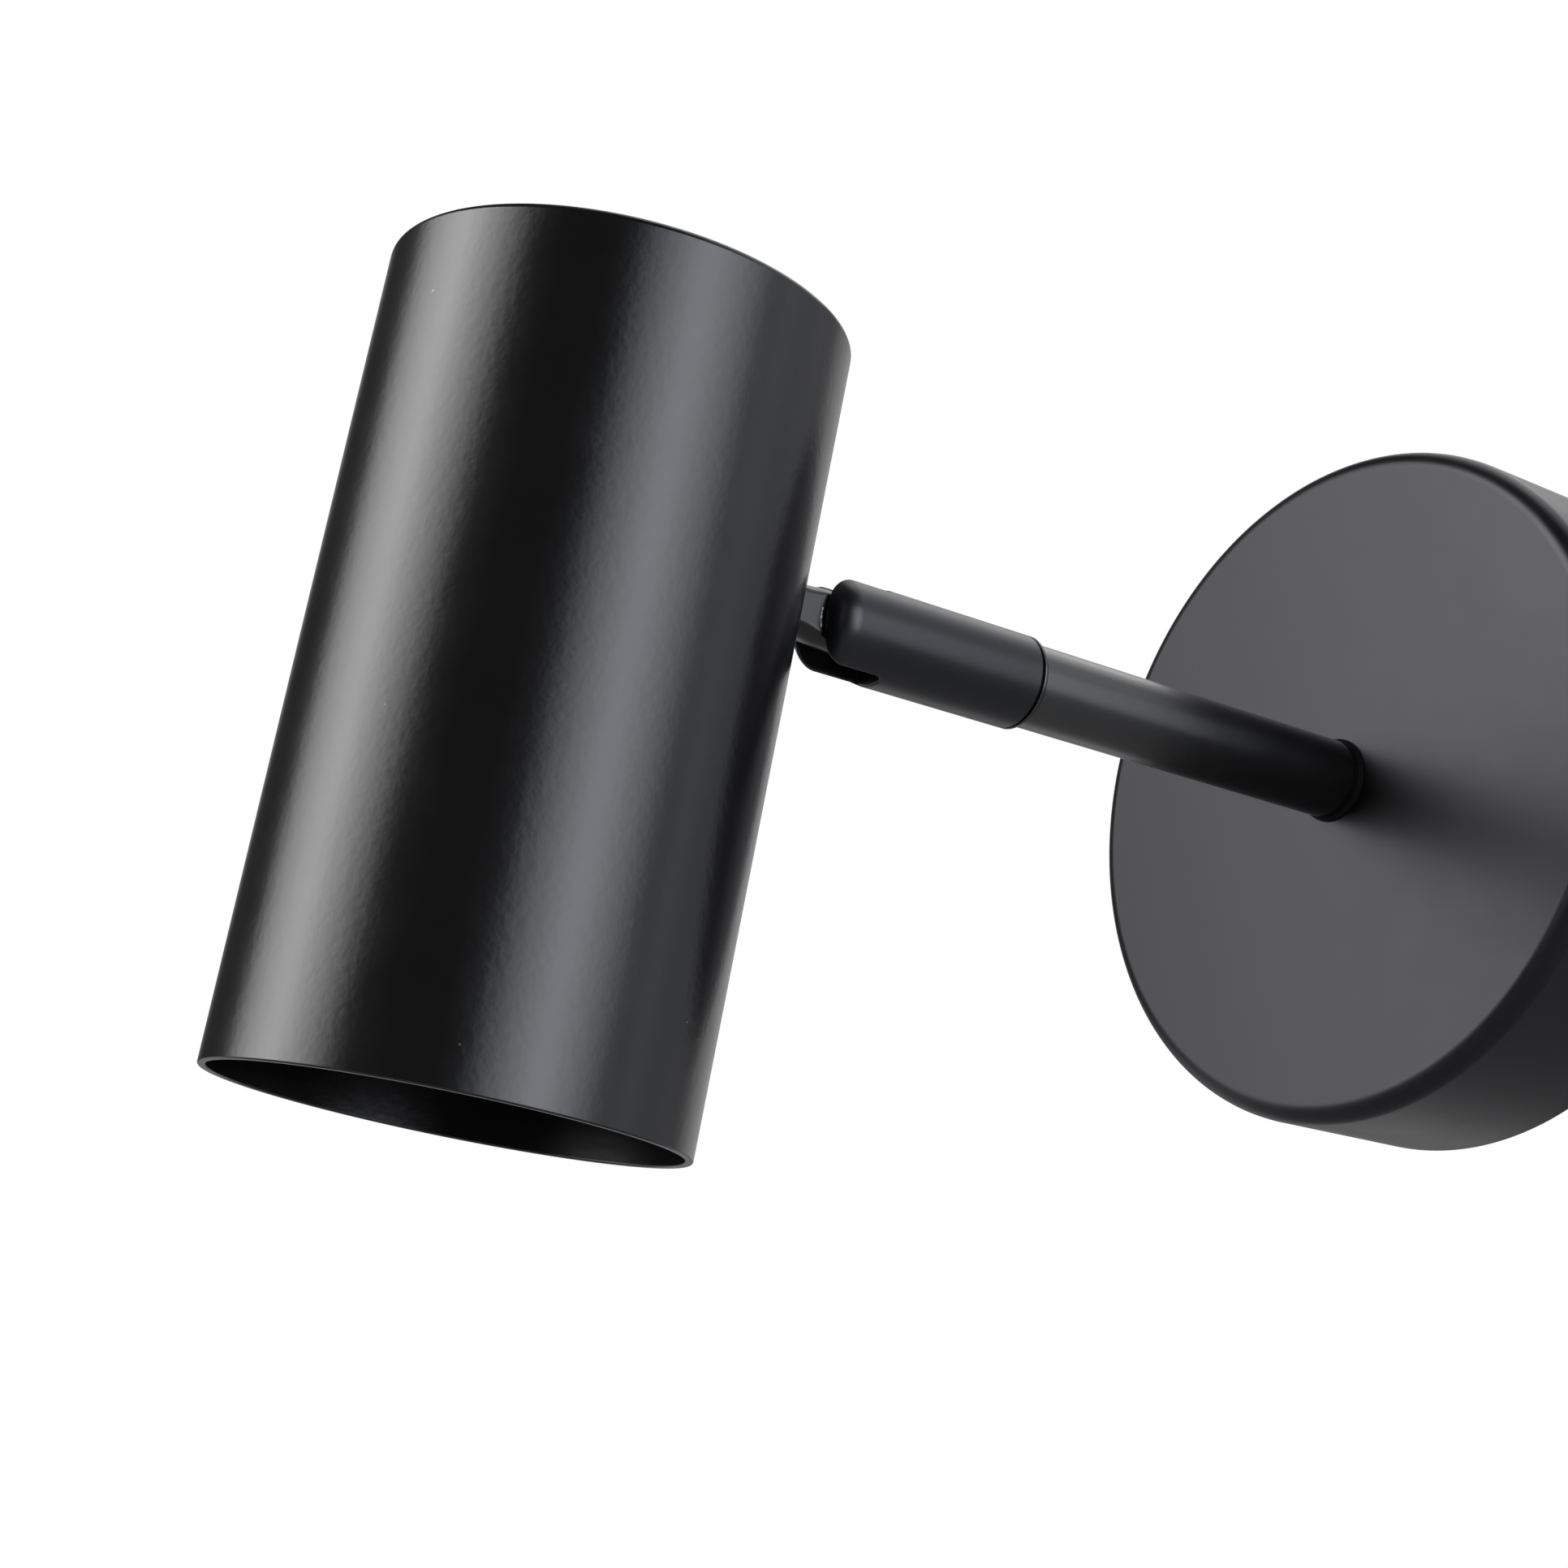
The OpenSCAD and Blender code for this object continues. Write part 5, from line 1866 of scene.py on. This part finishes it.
@dataclass
class Lamp(Assembly):
    """The reflector lamp: finned casing, reflector, light source and lens."""

    front: float = 23.9
    body_len: float = 34.41
    r: float = 25.0
    rim: float = 4.0
    shoulder: float = 30.69
    waist_r: float = 14.5
    bowl_r: float = 6.0
    bowl_top: float = 16.0
    lens_r: float = 22.5
    lens_t: float = 2.4
    lens_gap: float = 0.02
    fins: int = 20
    fin_t: float = 0.8
    fin_foot: float = 3.0
    mirror_r: float = 6.2
    mirror_top: float = 15.6
    mirror_t: float = 0.35
    source_r: float = 3.6
    board_r: float = 5.6
    dome_r: float = 1.4
    dome_rise: float = 0.55
    dome_pitch: float = 3.0
    dome_rows: int = 12

    def build(self) -> None:
        """Builds the lamp from its lens up."""
        finishes = self.shop.finishes
        seat = LAYOUT.head(self.front)
        self.fit(self.casing(seat), Body.HEAD, finishes.casing, ["lamp_body"])
        self.fit(self.fin_ring(seat), Body.HEAD, finishes.casing)
        self.fit(self.reflector(seat), Body.HEAD, finishes.bright)
        self.fit(self.source(seat), Body.HEAD, finishes.phosphor)
        self.fit(self.lens(seat), Body.HEAD, finishes.lens, ["lamp_lens"])
        self.fit(self.domes(seat), Body.HEAD, finishes.lens)
        self.ease("lamp_base", "lamp_cap", 0.3, Body.HEAD, finishes.ceramic)
        self.dress("lamp_pins", finishes.zinc)

    def casing(self, seat: Seat) -> Piece:
        """The casing, hollow where the reflector sits.

        Args:
            seat: Where the lamp's front stands.

        Returns:
            The casing.
        """
        neck, ledge_r = self.waist_r - 2, self.lens_r - 1.2
        lens_wall = self.lens_r + self.lens_gap
        outline = eased(
            [
                (0.0, self.bowl_top, 0.0),
                (self.bowl_r, self.bowl_top, 0.3),
                (ledge_r, self.lens_t + 0.3, 0.1),
                (ledge_r, self.lens_t, 0.1),
                (lens_wall, self.lens_t, 0.1),
                (lens_wall, 0.3, 0.1),
                (self.lens_r + 0.4, 0.0, 0.15),
                (self.r - 0.6, 0.0, 0.3),
                (self.r, 0.6, 0.3),
                (self.r, self.rim, 0.5),
                (self.r - 3, self.rim + 1.5, 0.8),
                (neck, self.shoulder, 1.5),
                (neck, self.body_len, 0.4),
                (0.0, self.body_len, 0.0),
            ],
            closed=False,
        )
        return turned(outline, 160).piece("lamp_shell", seat)

    def fin_ring(self, seat: Seat) -> Piece:
        """The cooling fins round the casing.

        Args:
            seat: Where the lamp's front stands.

        Returns:
            The fins.
        """
        low, top, foot_r = self.rim + 0.3, self.shoulder + 1, self.waist_r - self.fin_foot
        profile = eased(
            [
                (foot_r, low, 0.0),
                (self.r - 0.8, low, 0.6),
                (self.waist_r + 3.2, low + 17, 6.0),
                (self.waist_r, top, 0.8),
                (foot_r, top, 0.0),
            ],
            steps=5,
        )
        fin = extruded(profile, -self.fin_t / 2, self.fin_t / 2)
        upright = Seat((0, 0, 0), (1, 0, 0), (0, 0, 1), (0, -1, 0))
        piece = new_object("lamp_fins", fin.mesh("lamp_fins", upright))
        material = self.shop.finishes.material(self.shop.finishes.casing)
        self.shop.ring.cook(piece, Count=self.fins, First_Angle=0.0, Material=material)
        piece.data.transform(seat.matrix())
        return piece

    def reflector(self, seat: Seat) -> Piece:
        """The bright bowl behind the lens.

        Args:
            seat: Where the lamp's front stands.

        Returns:
            The bowl.
        """
        steps, spread, drop = 14, self.lens_r - 8.2, 12.6
        shares = [k / steps for k in range(steps + 1)]
        inner = [(self.mirror_r + spread * math.sqrt(s), self.mirror_top - drop * s) for s in shares]
        outer = [(r + self.mirror_t, z) for r, z in reversed(inner)]
        return turned(inner + outer, 128).piece("lamp_reflector", seat)

    def source(self, seat: Seat) -> Piece:
        """The round light source on its board.

        Args:
            seat: Where the lamp's front stands.

        Returns:
            The light source.
        """
        front, board, back = 14.6, 15.4, 15.9
        outline = eased(
            [
                (0.0, front, 0.0),
                (self.source_r, front, 0.5),
                (self.source_r + 0.3, board, 0.2),
                (self.board_r, board, 0.2),
                (self.board_r, back, 0.1),
                (0.0, back, 0.0),
            ],
            closed=False,
        )
        return turned(outline, 96).piece("light_source_disc", seat)

    def domes(self, seat: Seat) -> Piece:
        """The small domes that stand on the lens's inner side, in a close pattern.

        Args:
            seat: Where the lamp's front stands.

        Returns:
            The domes.
        """
        steps, sunk, margin = 4, 0.03, 2.2
        angles = [math.pi / 2 * k / steps for k in range(steps + 1)]
        arch = [(self.dome_r * math.sin(a), self.dome_rise * math.cos(a)) for a in angles]
        upright = Seat((0, 0, 0))
        dome = new_object("one_dome", turned([*arch, (0.0, 0.0)], 10).mesh("one_dome", upright))
        dome.data.shade_smooth()
        reach = self.lens_r - margin - self.dome_r
        numbers = range(-self.dome_rows, self.dome_rows + 1)
        spots = []
        for row in numbers:
            y = row * self.dome_pitch * math.sqrt(3) / 2
            for column in numbers:
                x = (column + 0.5 * (row % 2)) * self.dome_pitch
                if math.hypot(x, y) < reach:
                    spots.append((x, y, self.lens_t - sunk))
        piece = new_object("lens_domes", Form(np.array(spots), []).mesh("lens_domes", upright))
        material = self.shop.finishes.material(self.shop.finishes.lens)
        self.shop.scatter.cook(piece, Part=dome, Material=material)
        piece.data.transform(seat.matrix())
        bpy.data.meshes.remove(dome.data)
        return piece

    def lens(self, seat: Seat) -> Piece:
        """The lens plate, with a fine groove near its edge.

        Args:
            seat: Where the lamp's front stands.

        Returns:
            The lens.
        """
        r, low, high, groove = self.lens_r, self.lens_gap, self.lens_t - 2 * self.lens_gap, 0.5
        outline = eased(
            [
                (0.0, low, 0.0),
                (r - 1.4, low, 0.0),
                (r - 1.1, groove, 0.15),
                (r - 0.8, low, 0.0),
                (r, low, 0.2),
                (r, high, 0.2),
                (0.0, high, 0.0),
            ],
            closed=False,
        )
        return turned(outline, 160).piece("lamp_front_lens", seat)


@dataclass
class Leads(Assembly):
    """The insulated leads from the terminal block to the lampholder."""

    r: float = 0.85
    gap: float = 1.9
    play: float = 0.2
    bore_height: float = 6.5
    block_x: float = LAYOUT.block_x
    pitch: float = 7.0
    lead_end: float = 2.0
    block_end: float = 8.0
    earth_x: float = LAYOUT.earth_x
    tag_out: float = 2.97
    tag_from: float = 7.0
    tag_end: float = 11.0
    spigot_end: float = 76.4
    shank_end: float = 17.5
    slot_floor: float = 88.32
    tongue_end: float = 3.8
    stud_end: float = 21.44
    port_x: float = 3.6
    port_height: float = 80.4
    holder_r: float = 13.0
    port_depth: float = 7.0
    port_lip: float = 0.57
    bend: float = 2.6
    step: float = 0.8
    knot_steps: int = 8
    live_bend: tuple[Triple, ...] = (
        (-0.2, 14.6, 2.4), (-1, 13, 7), (-4, 11.5, 13.5), (-10, 9.5, 17.5), (-16, 7.4, 15.5),
    )
    neutral_bend: tuple[Triple, ...] = (
        (0, 13.2, -0.4), (-0.4, 10.8, 3), (-2.4, 9.2, 9), (-5.6, 8, 13), (-9.4, 7, 13.2),
    )
    earth_bend: tuple[Triple, ...] = (
        (14, 4, 17), (10, 6, 21), (0, 7, 23), (-12, 7, 23), (-21, 6.8, 19),
    )

    def build(self) -> None:
        """Builds every lead on its body."""
        finishes = self.shop.finishes
        jobs = (
            ("live", 1, self.live_bend, 0, finishes.brown),
            ("neutral", -1, self.neutral_bend, -1, finishes.blue),
        )
        for name, side, bend, way, finish in jobs:
            stretches = (
                ("arm", Body.WALL, self.arm_route(side, bend, way)),
                ("knuckle", Body.KNUCKLE, self.knuckle_route(side)),
                ("head", Body.HEAD, self.head_route(side)),
            )
            for part, body, route in stretches:
                self.sweep(f"{name}_{part}_wire", route, body, finish, f"{name}_{part}_lead")
        self.sweep("earth_wire", self.earth_route(), Body.WALL, finishes.earth, "earth_lead")

    def sweep(self, name: str, route: list[Triple], body: Body, finish: Finish, node: str) -> None:
        """Sweeps a lead along its route.

        Args:
            name: Name of the piece.
            route: Points along the lead, in mm in the object's frame.
            body: The body that it moves with.
            finish: Its finish.
            node: The model part that it stands for.
        """
        mesh = bpy.data.meshes.new(name)
        points = [tuple(c * MM for c in p) for p in route]
        mesh.from_pydata(points, [(i, i + 1) for i in range(len(points) - 1)], [])
        piece = new_object(name, mesh)
        length = sum(math.dist(a, b) for a, b in zip(route, route[1:]))
        self.shop.lead.cook(
            piece,
            Radius=self.r * MM,
            Steps=max(int(length / self.step), 8),
            Sides=24,
            Material=self.shop.finishes.material(finish),
        )
        piece.data.set_sharp_from_angle(angle=math.radians(50))
        self.fit(piece, body, finish, [node])

    def into_way(self, way: int) -> list[Triple]:
        """The points by which a lead comes down into its way of the block."""
        x = -self.block_x - way * self.pitch
        return [(x, self.bore_height, self.block_end + 4), (x, self.bore_height, self.block_end + 1)]

    def way_end(self, way: int) -> Triple:
        """Where a lead ends in its way of the block."""
        return (-self.block_x - way * self.pitch, self.bore_height, self.lead_end)

    def arm_route(self, side: int, bend: Sequence[Triple], way: int) -> list[Triple]:
        """From the swivel, through the arm, to the block.

        Args:
            side: 1 for the upper lead, -1 for the lower one.
            bend: The bend's points, with y as the height above the wall.
            way: Its way of the block, counted from the middle.

        Returns:
            Points along the lead.
        """
        z = side * self.gap / 2
        straight = [(0.0, self.shank_end + 3, z), (0.0, self.shank_end, z)]
        start = (0.0, -(LAYOUT.canopy_depth + self.spigot_end), z)
        route = flowing(from_wall([*straight, *bend, *self.into_way(way)]), self.knot_steps)
        return [start, *route, *from_wall([self.way_end(way)])]

    def earth_route(self) -> list[Triple]:
        """From the earth tag to the block.

        Returns:
            Points along the lead.
        """
        x, out = self.earth_x, self.tag_out
        first = [(x, out, self.tag_end), (x, out, self.tag_end + 2)]
        route = flowing(from_wall([*first, *self.earth_bend, *self.into_way(1)]), self.knot_steps)
        return [*from_wall([(x, out, self.tag_from)]), *route, *from_wall([self.way_end(1)])]

    def knuckle_route(self, side: int) -> list[Triple]:
        """Straight through the knuckle, from the swivel's end to the slot.

        Args:
            side: 1 for the upper lead, -1 for the lower one.

        Returns:
            Points along the lead.
        """
        z = side * self.gap / 2
        ends = (self.spigot_end + self.play, self.slot_floor)
        return [(0.0, -(LAYOUT.canopy_depth + t), z) for t in ends]

    def head_route(self, side: int) -> list[Triple]:
        """From the tongue's end, through the stud, to the lampholder.

        Args:
            side: 1 for the upper lead, -1 for the lower one.

        Returns:
            Points along the lead.
        """
        z = LAYOUT.stud_height + side * self.gap / 2
        x, mouth, up = side * self.port_x, self.holder_r, self.port_height
        bend = [
            (0.0, self.stud_end + 2 * self.r, z),
            (0.0, self.stud_end, z),
            (x * 0.45, self.stud_end - self.bend, z + self.bend * 0.4),
            (x * 0.9, mouth + self.bend, up - self.play),
            (x, mouth + self.r, up),
            (x, mouth - self.port_lip, up),
        ]
        start = (0.0, LAYOUT.head_axis - LAYOUT.pivot_pos + self.tongue_end, z)
        end = (x, mouth - self.port_depth + self.r, up)
        placed = LAYOUT.head().place([start, *flowing(bend, self.knot_steps), end]) / MM
        return [tuple(float(c) for c in p) for p in placed]


def from_wall(points: Iterable[Triple]) -> list[Triple]:
    """Points given by their distance from the wall, in the object's frame."""
    return [(x, -y, z) for x, y, z in points]


def flowing(points: Sequence[Triple], steps: int) -> list[Triple]:
    """The smooth curve through a few points.

    Args:
        points: The points.
        steps: Steps in each stretch.

    Returns:
        The curve's points.
    """
    knots = np.array(points, dtype=float)
    last = len(knots) - 1
    out: list[Triple] = []
    for i in range(last):
        a, b, c, d = knots[max(i - 1, 0)], knots[i], knots[i + 1], knots[min(i + 2, last)]
        bow, twist = 2 * a - 5 * b + 4 * c - d, 3 * b - a - 3 * c + d
        for k in range(steps):
            t = k / steps
            p = (2 * b + (c - a) * t + bow * t**2 + twist * t**3) / 2
            out.append(tuple(float(v) for v in p))
    out.append(tuple(float(v) for v in knots[last]))
    return out


# Studio


@dataclass(frozen=True)
class SoftBox:
    """A rectangular soft light, placed round the light by angles from the camera's side.

    Its light falls off towards its two sides: it is hung as nested panels, each narrower
    than the one before.
    """

    name: str
    around: float
    height: float
    distance: float
    width: float
    tall: float
    level: float
    panels: int = 5
    colour: Colour = (1.0, 1.0, 1.0)
    gap: float = 0.01


@dataclass
class Studio:
    """The floor, the background, the lights and the camera.

    Two pairs together are a span of distances, in metres, and what it turns them into.
    """

    camera_at: Triple = (0.29342, -0.32307, -0.0923)
    right: Triple = (0.56981, 0.81144, 0.12992)
    up: Triple = (0.08669, -0.21657, 0.97241)
    forward: Triple = (-0.81719, 0.54282, 0.19374)
    lens: float = 62.83
    sensor: float = 36.0
    middle: Triple = (0.0, -0.1, -0.01)
    floor_z: float = -0.6
    floor_half: float = 6.0
    floor_tone: Colour = (0.31, 0.31, 0.31)
    floor_white: tuple[Pair, Pair] = ((1.5, 4.0), (0.8, 1.0))
    floor_glow: float = 0.38
    glow_starts: Pair = (0.3, 1.0)
    glow_fades: tuple[Pair, Pair] = ((1.4, 2.4), (1.0, 0.4))
    backdrop: float = 0.6
    backdrop_turn: float = 11.0
    backdrop_edge: float = 22.0
    backdrop_fade: float = 18.0
    room: float = 0.045
    boxes: tuple[SoftBox, ...] = (
        SoftBox("key", -80.5, 17.0, 3.0, 3.95, 2.9, 4.9, 7),
        SoftBox("fill", 43.0, 14.0, 3.0, 3.95, 2.6, 3.4, 7, (0.93, 0.96, 1.04)),
        SoftBox("side", 92.0, 40.0, 3.1, 4.2, 2.6, 0.66, 5, (0.94, 0.96, 1.03)),
        SoftBox("low_side", 91.0, -2.0, 3.3, 4.4, 2.3, 0.58, 5, (0.94, 0.96, 1.03)),
        SoftBox("rear", 124.0, 16.0, 3.2, 2.2, 2.6, 0.3, 3, (0.95, 0.96, 1.02)),
        SoftBox("top", 150.0, 62.0, 2.5, 2.6, 2.4, 1.5, 3),
    )

    def build(self) -> None:
        """Builds the studio."""
        self.camera()
        self.floor()
        self.background()
        for box in self.boxes:
            self.light(box)

    def camera(self) -> None:
        """Places the camera."""
        data = bpy.data.cameras.new("camera")
        data.lens = self.lens
        data.sensor_width = self.sensor
        data.sensor_fit = "AUTO"
        data.clip_start, data.clip_end = 0.01, 50.0
        camera = bpy.data.objects.new("camera", data)
        bpy.context.scene.collection.objects.link(camera)
        columns = [self.right, self.up, tuple(-c for c in self.forward)]
        rotation = Matrix([[columns[j][i] for j in range(3)] for i in range(3)])
        camera.rotation_mode = "QUATERNION"
        camera.rotation_quaternion = rotation.to_quaternion()
        camera.location = self.camera_at
        bpy.context.scene.camera = camera

    def floor(self) -> None:
        """Lays the pale floor, which looks white and keeps soft shadows."""
        half = self.floor_half
        mesh = bpy.data.meshes.new("floor")
        corners = [(-half, -half), (half, -half), (half, half), (-half, half)]
        mesh.from_pydata([(x, y, self.floor_z) for x, y in corners], [], [(0, 1, 2, 3)])
        floor = new_object("floor", mesh)
        material = bpy.data.materials.new("pale_floor")
        material.use_nodes = True
        tree = material.node_tree
        tree.nodes.clear()
        path = add_node(tree, "ShaderNodeLightPath")
        where = add_node(tree, "ShaderNodeNewGeometry").outputs["Position"]
        away = add_node(tree, "ShaderNodeVectorMath", {0: where}, operation="LENGTH").outputs["Value"]
        white = eased_span(tree, away, *self.floor_white)
        behind = self.along(tree, where, Vector(self.forward))
        near = eased_span(tree, behind, self.glow_starts, (0.0, self.floor_glow))
        far = eased_span(tree, behind, *self.glow_fades)
        glow = add_node(tree, "ShaderNodeMath", {0: near, 1: far}, operation="MULTIPLY").outputs[0]
        ends = {"Factor": path.outputs["Is Camera Ray"], 2: glow, 3: white}
        shown = add_node(tree, "ShaderNodeMix", ends, data_type="FLOAT").outputs[0]
        matt = add_node(tree, "ShaderNodeBsdfDiffuse", {"Color": rgba(self.floor_tone)})
        bright = add_node(tree, "ShaderNodeEmission", {"Color": WHITE, "Strength": shown})
        mixed = add_node(tree, "ShaderNodeAddShader", {0: matt.outputs[0], 1: bright.outputs[0]})
        add_node(tree, "ShaderNodeOutputMaterial", {"Surface": mixed.outputs[0]})
        mesh.materials.append(material)

    def along(self, tree: Tree, where: Socket, way: Vector) -> Socket:
        """How far a place or a direction reaches along a way."""
        ends = {0: where, 1: way}
        return add_node(tree, "ShaderNodeVectorMath", ends, operation="DOT_PRODUCT").outputs["Value"]

    def background(self) -> None:
        """Makes the world: white to the camera, and brighter behind the light than before it."""
        world = bpy.data.worlds.new("studio")
        bpy.context.scene.world = world
        world.use_nodes = True
        tree = world.node_tree
        tree.nodes.clear()
        path = add_node(tree, "ShaderNodeLightPath")
        sky = add_node(tree, "ShaderNodeTexCoord").outputs["Generated"]
        turn = math.radians(self.backdrop_turn)
        centre = Vector(self.forward) * math.cos(turn) + Vector(self.right) * math.sin(turn)
        ahead = self.along(tree, sky, centre)
        edges = [math.cos(math.radians(self.backdrop_edge + fade)) for fade in (self.backdrop_fade, 0.0)]
        behind = eased_span(tree, ahead, edges, (self.room, self.backdrop))
        around = add_node(tree, "ShaderNodeBackground", {"Color": WHITE, "Strength": behind})
        white = add_node(tree, "ShaderNodeBackground", {"Color": WHITE, "Strength": 1.0})
        ends = {0: path.outputs["Is Camera Ray"], 1: around.outputs[0], 2: white.outputs[0]}
        mixed = add_node(tree, "ShaderNodeMixShader", ends)
        add_node(tree, "ShaderNodeOutputWorld", {"Surface": mixed.outputs[0]})

    def light(self, box: SoftBox) -> None:
        """Hangs one soft light so that it faces the middle of the object.

        Args:
            box: The soft light.
        """
        to_camera, to_right = (
            Vector((x, y, 0)).normalized()
            for x, y in ((-self.forward[0], -self.forward[1]), self.right[:2])
        )
        around, height = math.radians(box.around), math.radians(box.height)
        level = to_camera * math.cos(around) + to_right * math.sin(around)
        toward = level * math.cos(height) + Vector((0, 0, math.sin(height)))
        for panel in range(box.panels):
            share = 1 - (panel + 0.5) / box.panels
            name = f"{box.name}_{panel + 1}"
            data = bpy.data.lights.new(name, "AREA")
            data.shape = "RECTANGLE"
            data.size, data.size_y = box.width * share, box.tall
            data.color = box.colour
            data.energy = box.level / box.panels * math.pi * data.size * data.size_y
            lamp = bpy.data.objects.new(name, data)
            lamp.location = Vector(self.middle) + toward * (box.distance + panel * box.gap)
            lamp.rotation_mode = "QUATERNION"
            lamp.rotation_quaternion = toward.to_track_quat("Z", "Y")
            bpy.context.scene.collection.objects.link(lamp)


def eased_span(tree: Tree, value: Socket, start: Sequence[float], end: Sequence[float]) -> Socket:
    """Eases a value from one span to another.

    Args:
        tree: The tree.
        value: The value.
        start: The span that it comes from.
        end: The span that it goes to.

    Returns:
        The socket with the eased value.
    """
    names = ("Value", "From Min", "From Max", "To Min", "To Max")
    inputs = dict(zip(names, (value, *start, *end)))
    node = add_node(tree, "ShaderNodeMapRange", inputs, interpolation_type="SMOOTHSTEP")
    return node.outputs["Result"]


def main() -> None:
    """Builds the light and its studio."""
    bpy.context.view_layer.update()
    bpy.context.scene.view_settings.view_transform = "Standard"
    Studio().build()
    shop = Workshop(Finishes(Effects()), ring_recipe(), scatter_recipe(), lead_recipe())
    for kind in (
        WallCanopy, WallBracket, Terminals, Arm, Knuckle, Tongue, HeadShell, LampHolder, Lamp, Leads
    ):
        kind(shop).build()


if __name__ == "__main__":
    main()
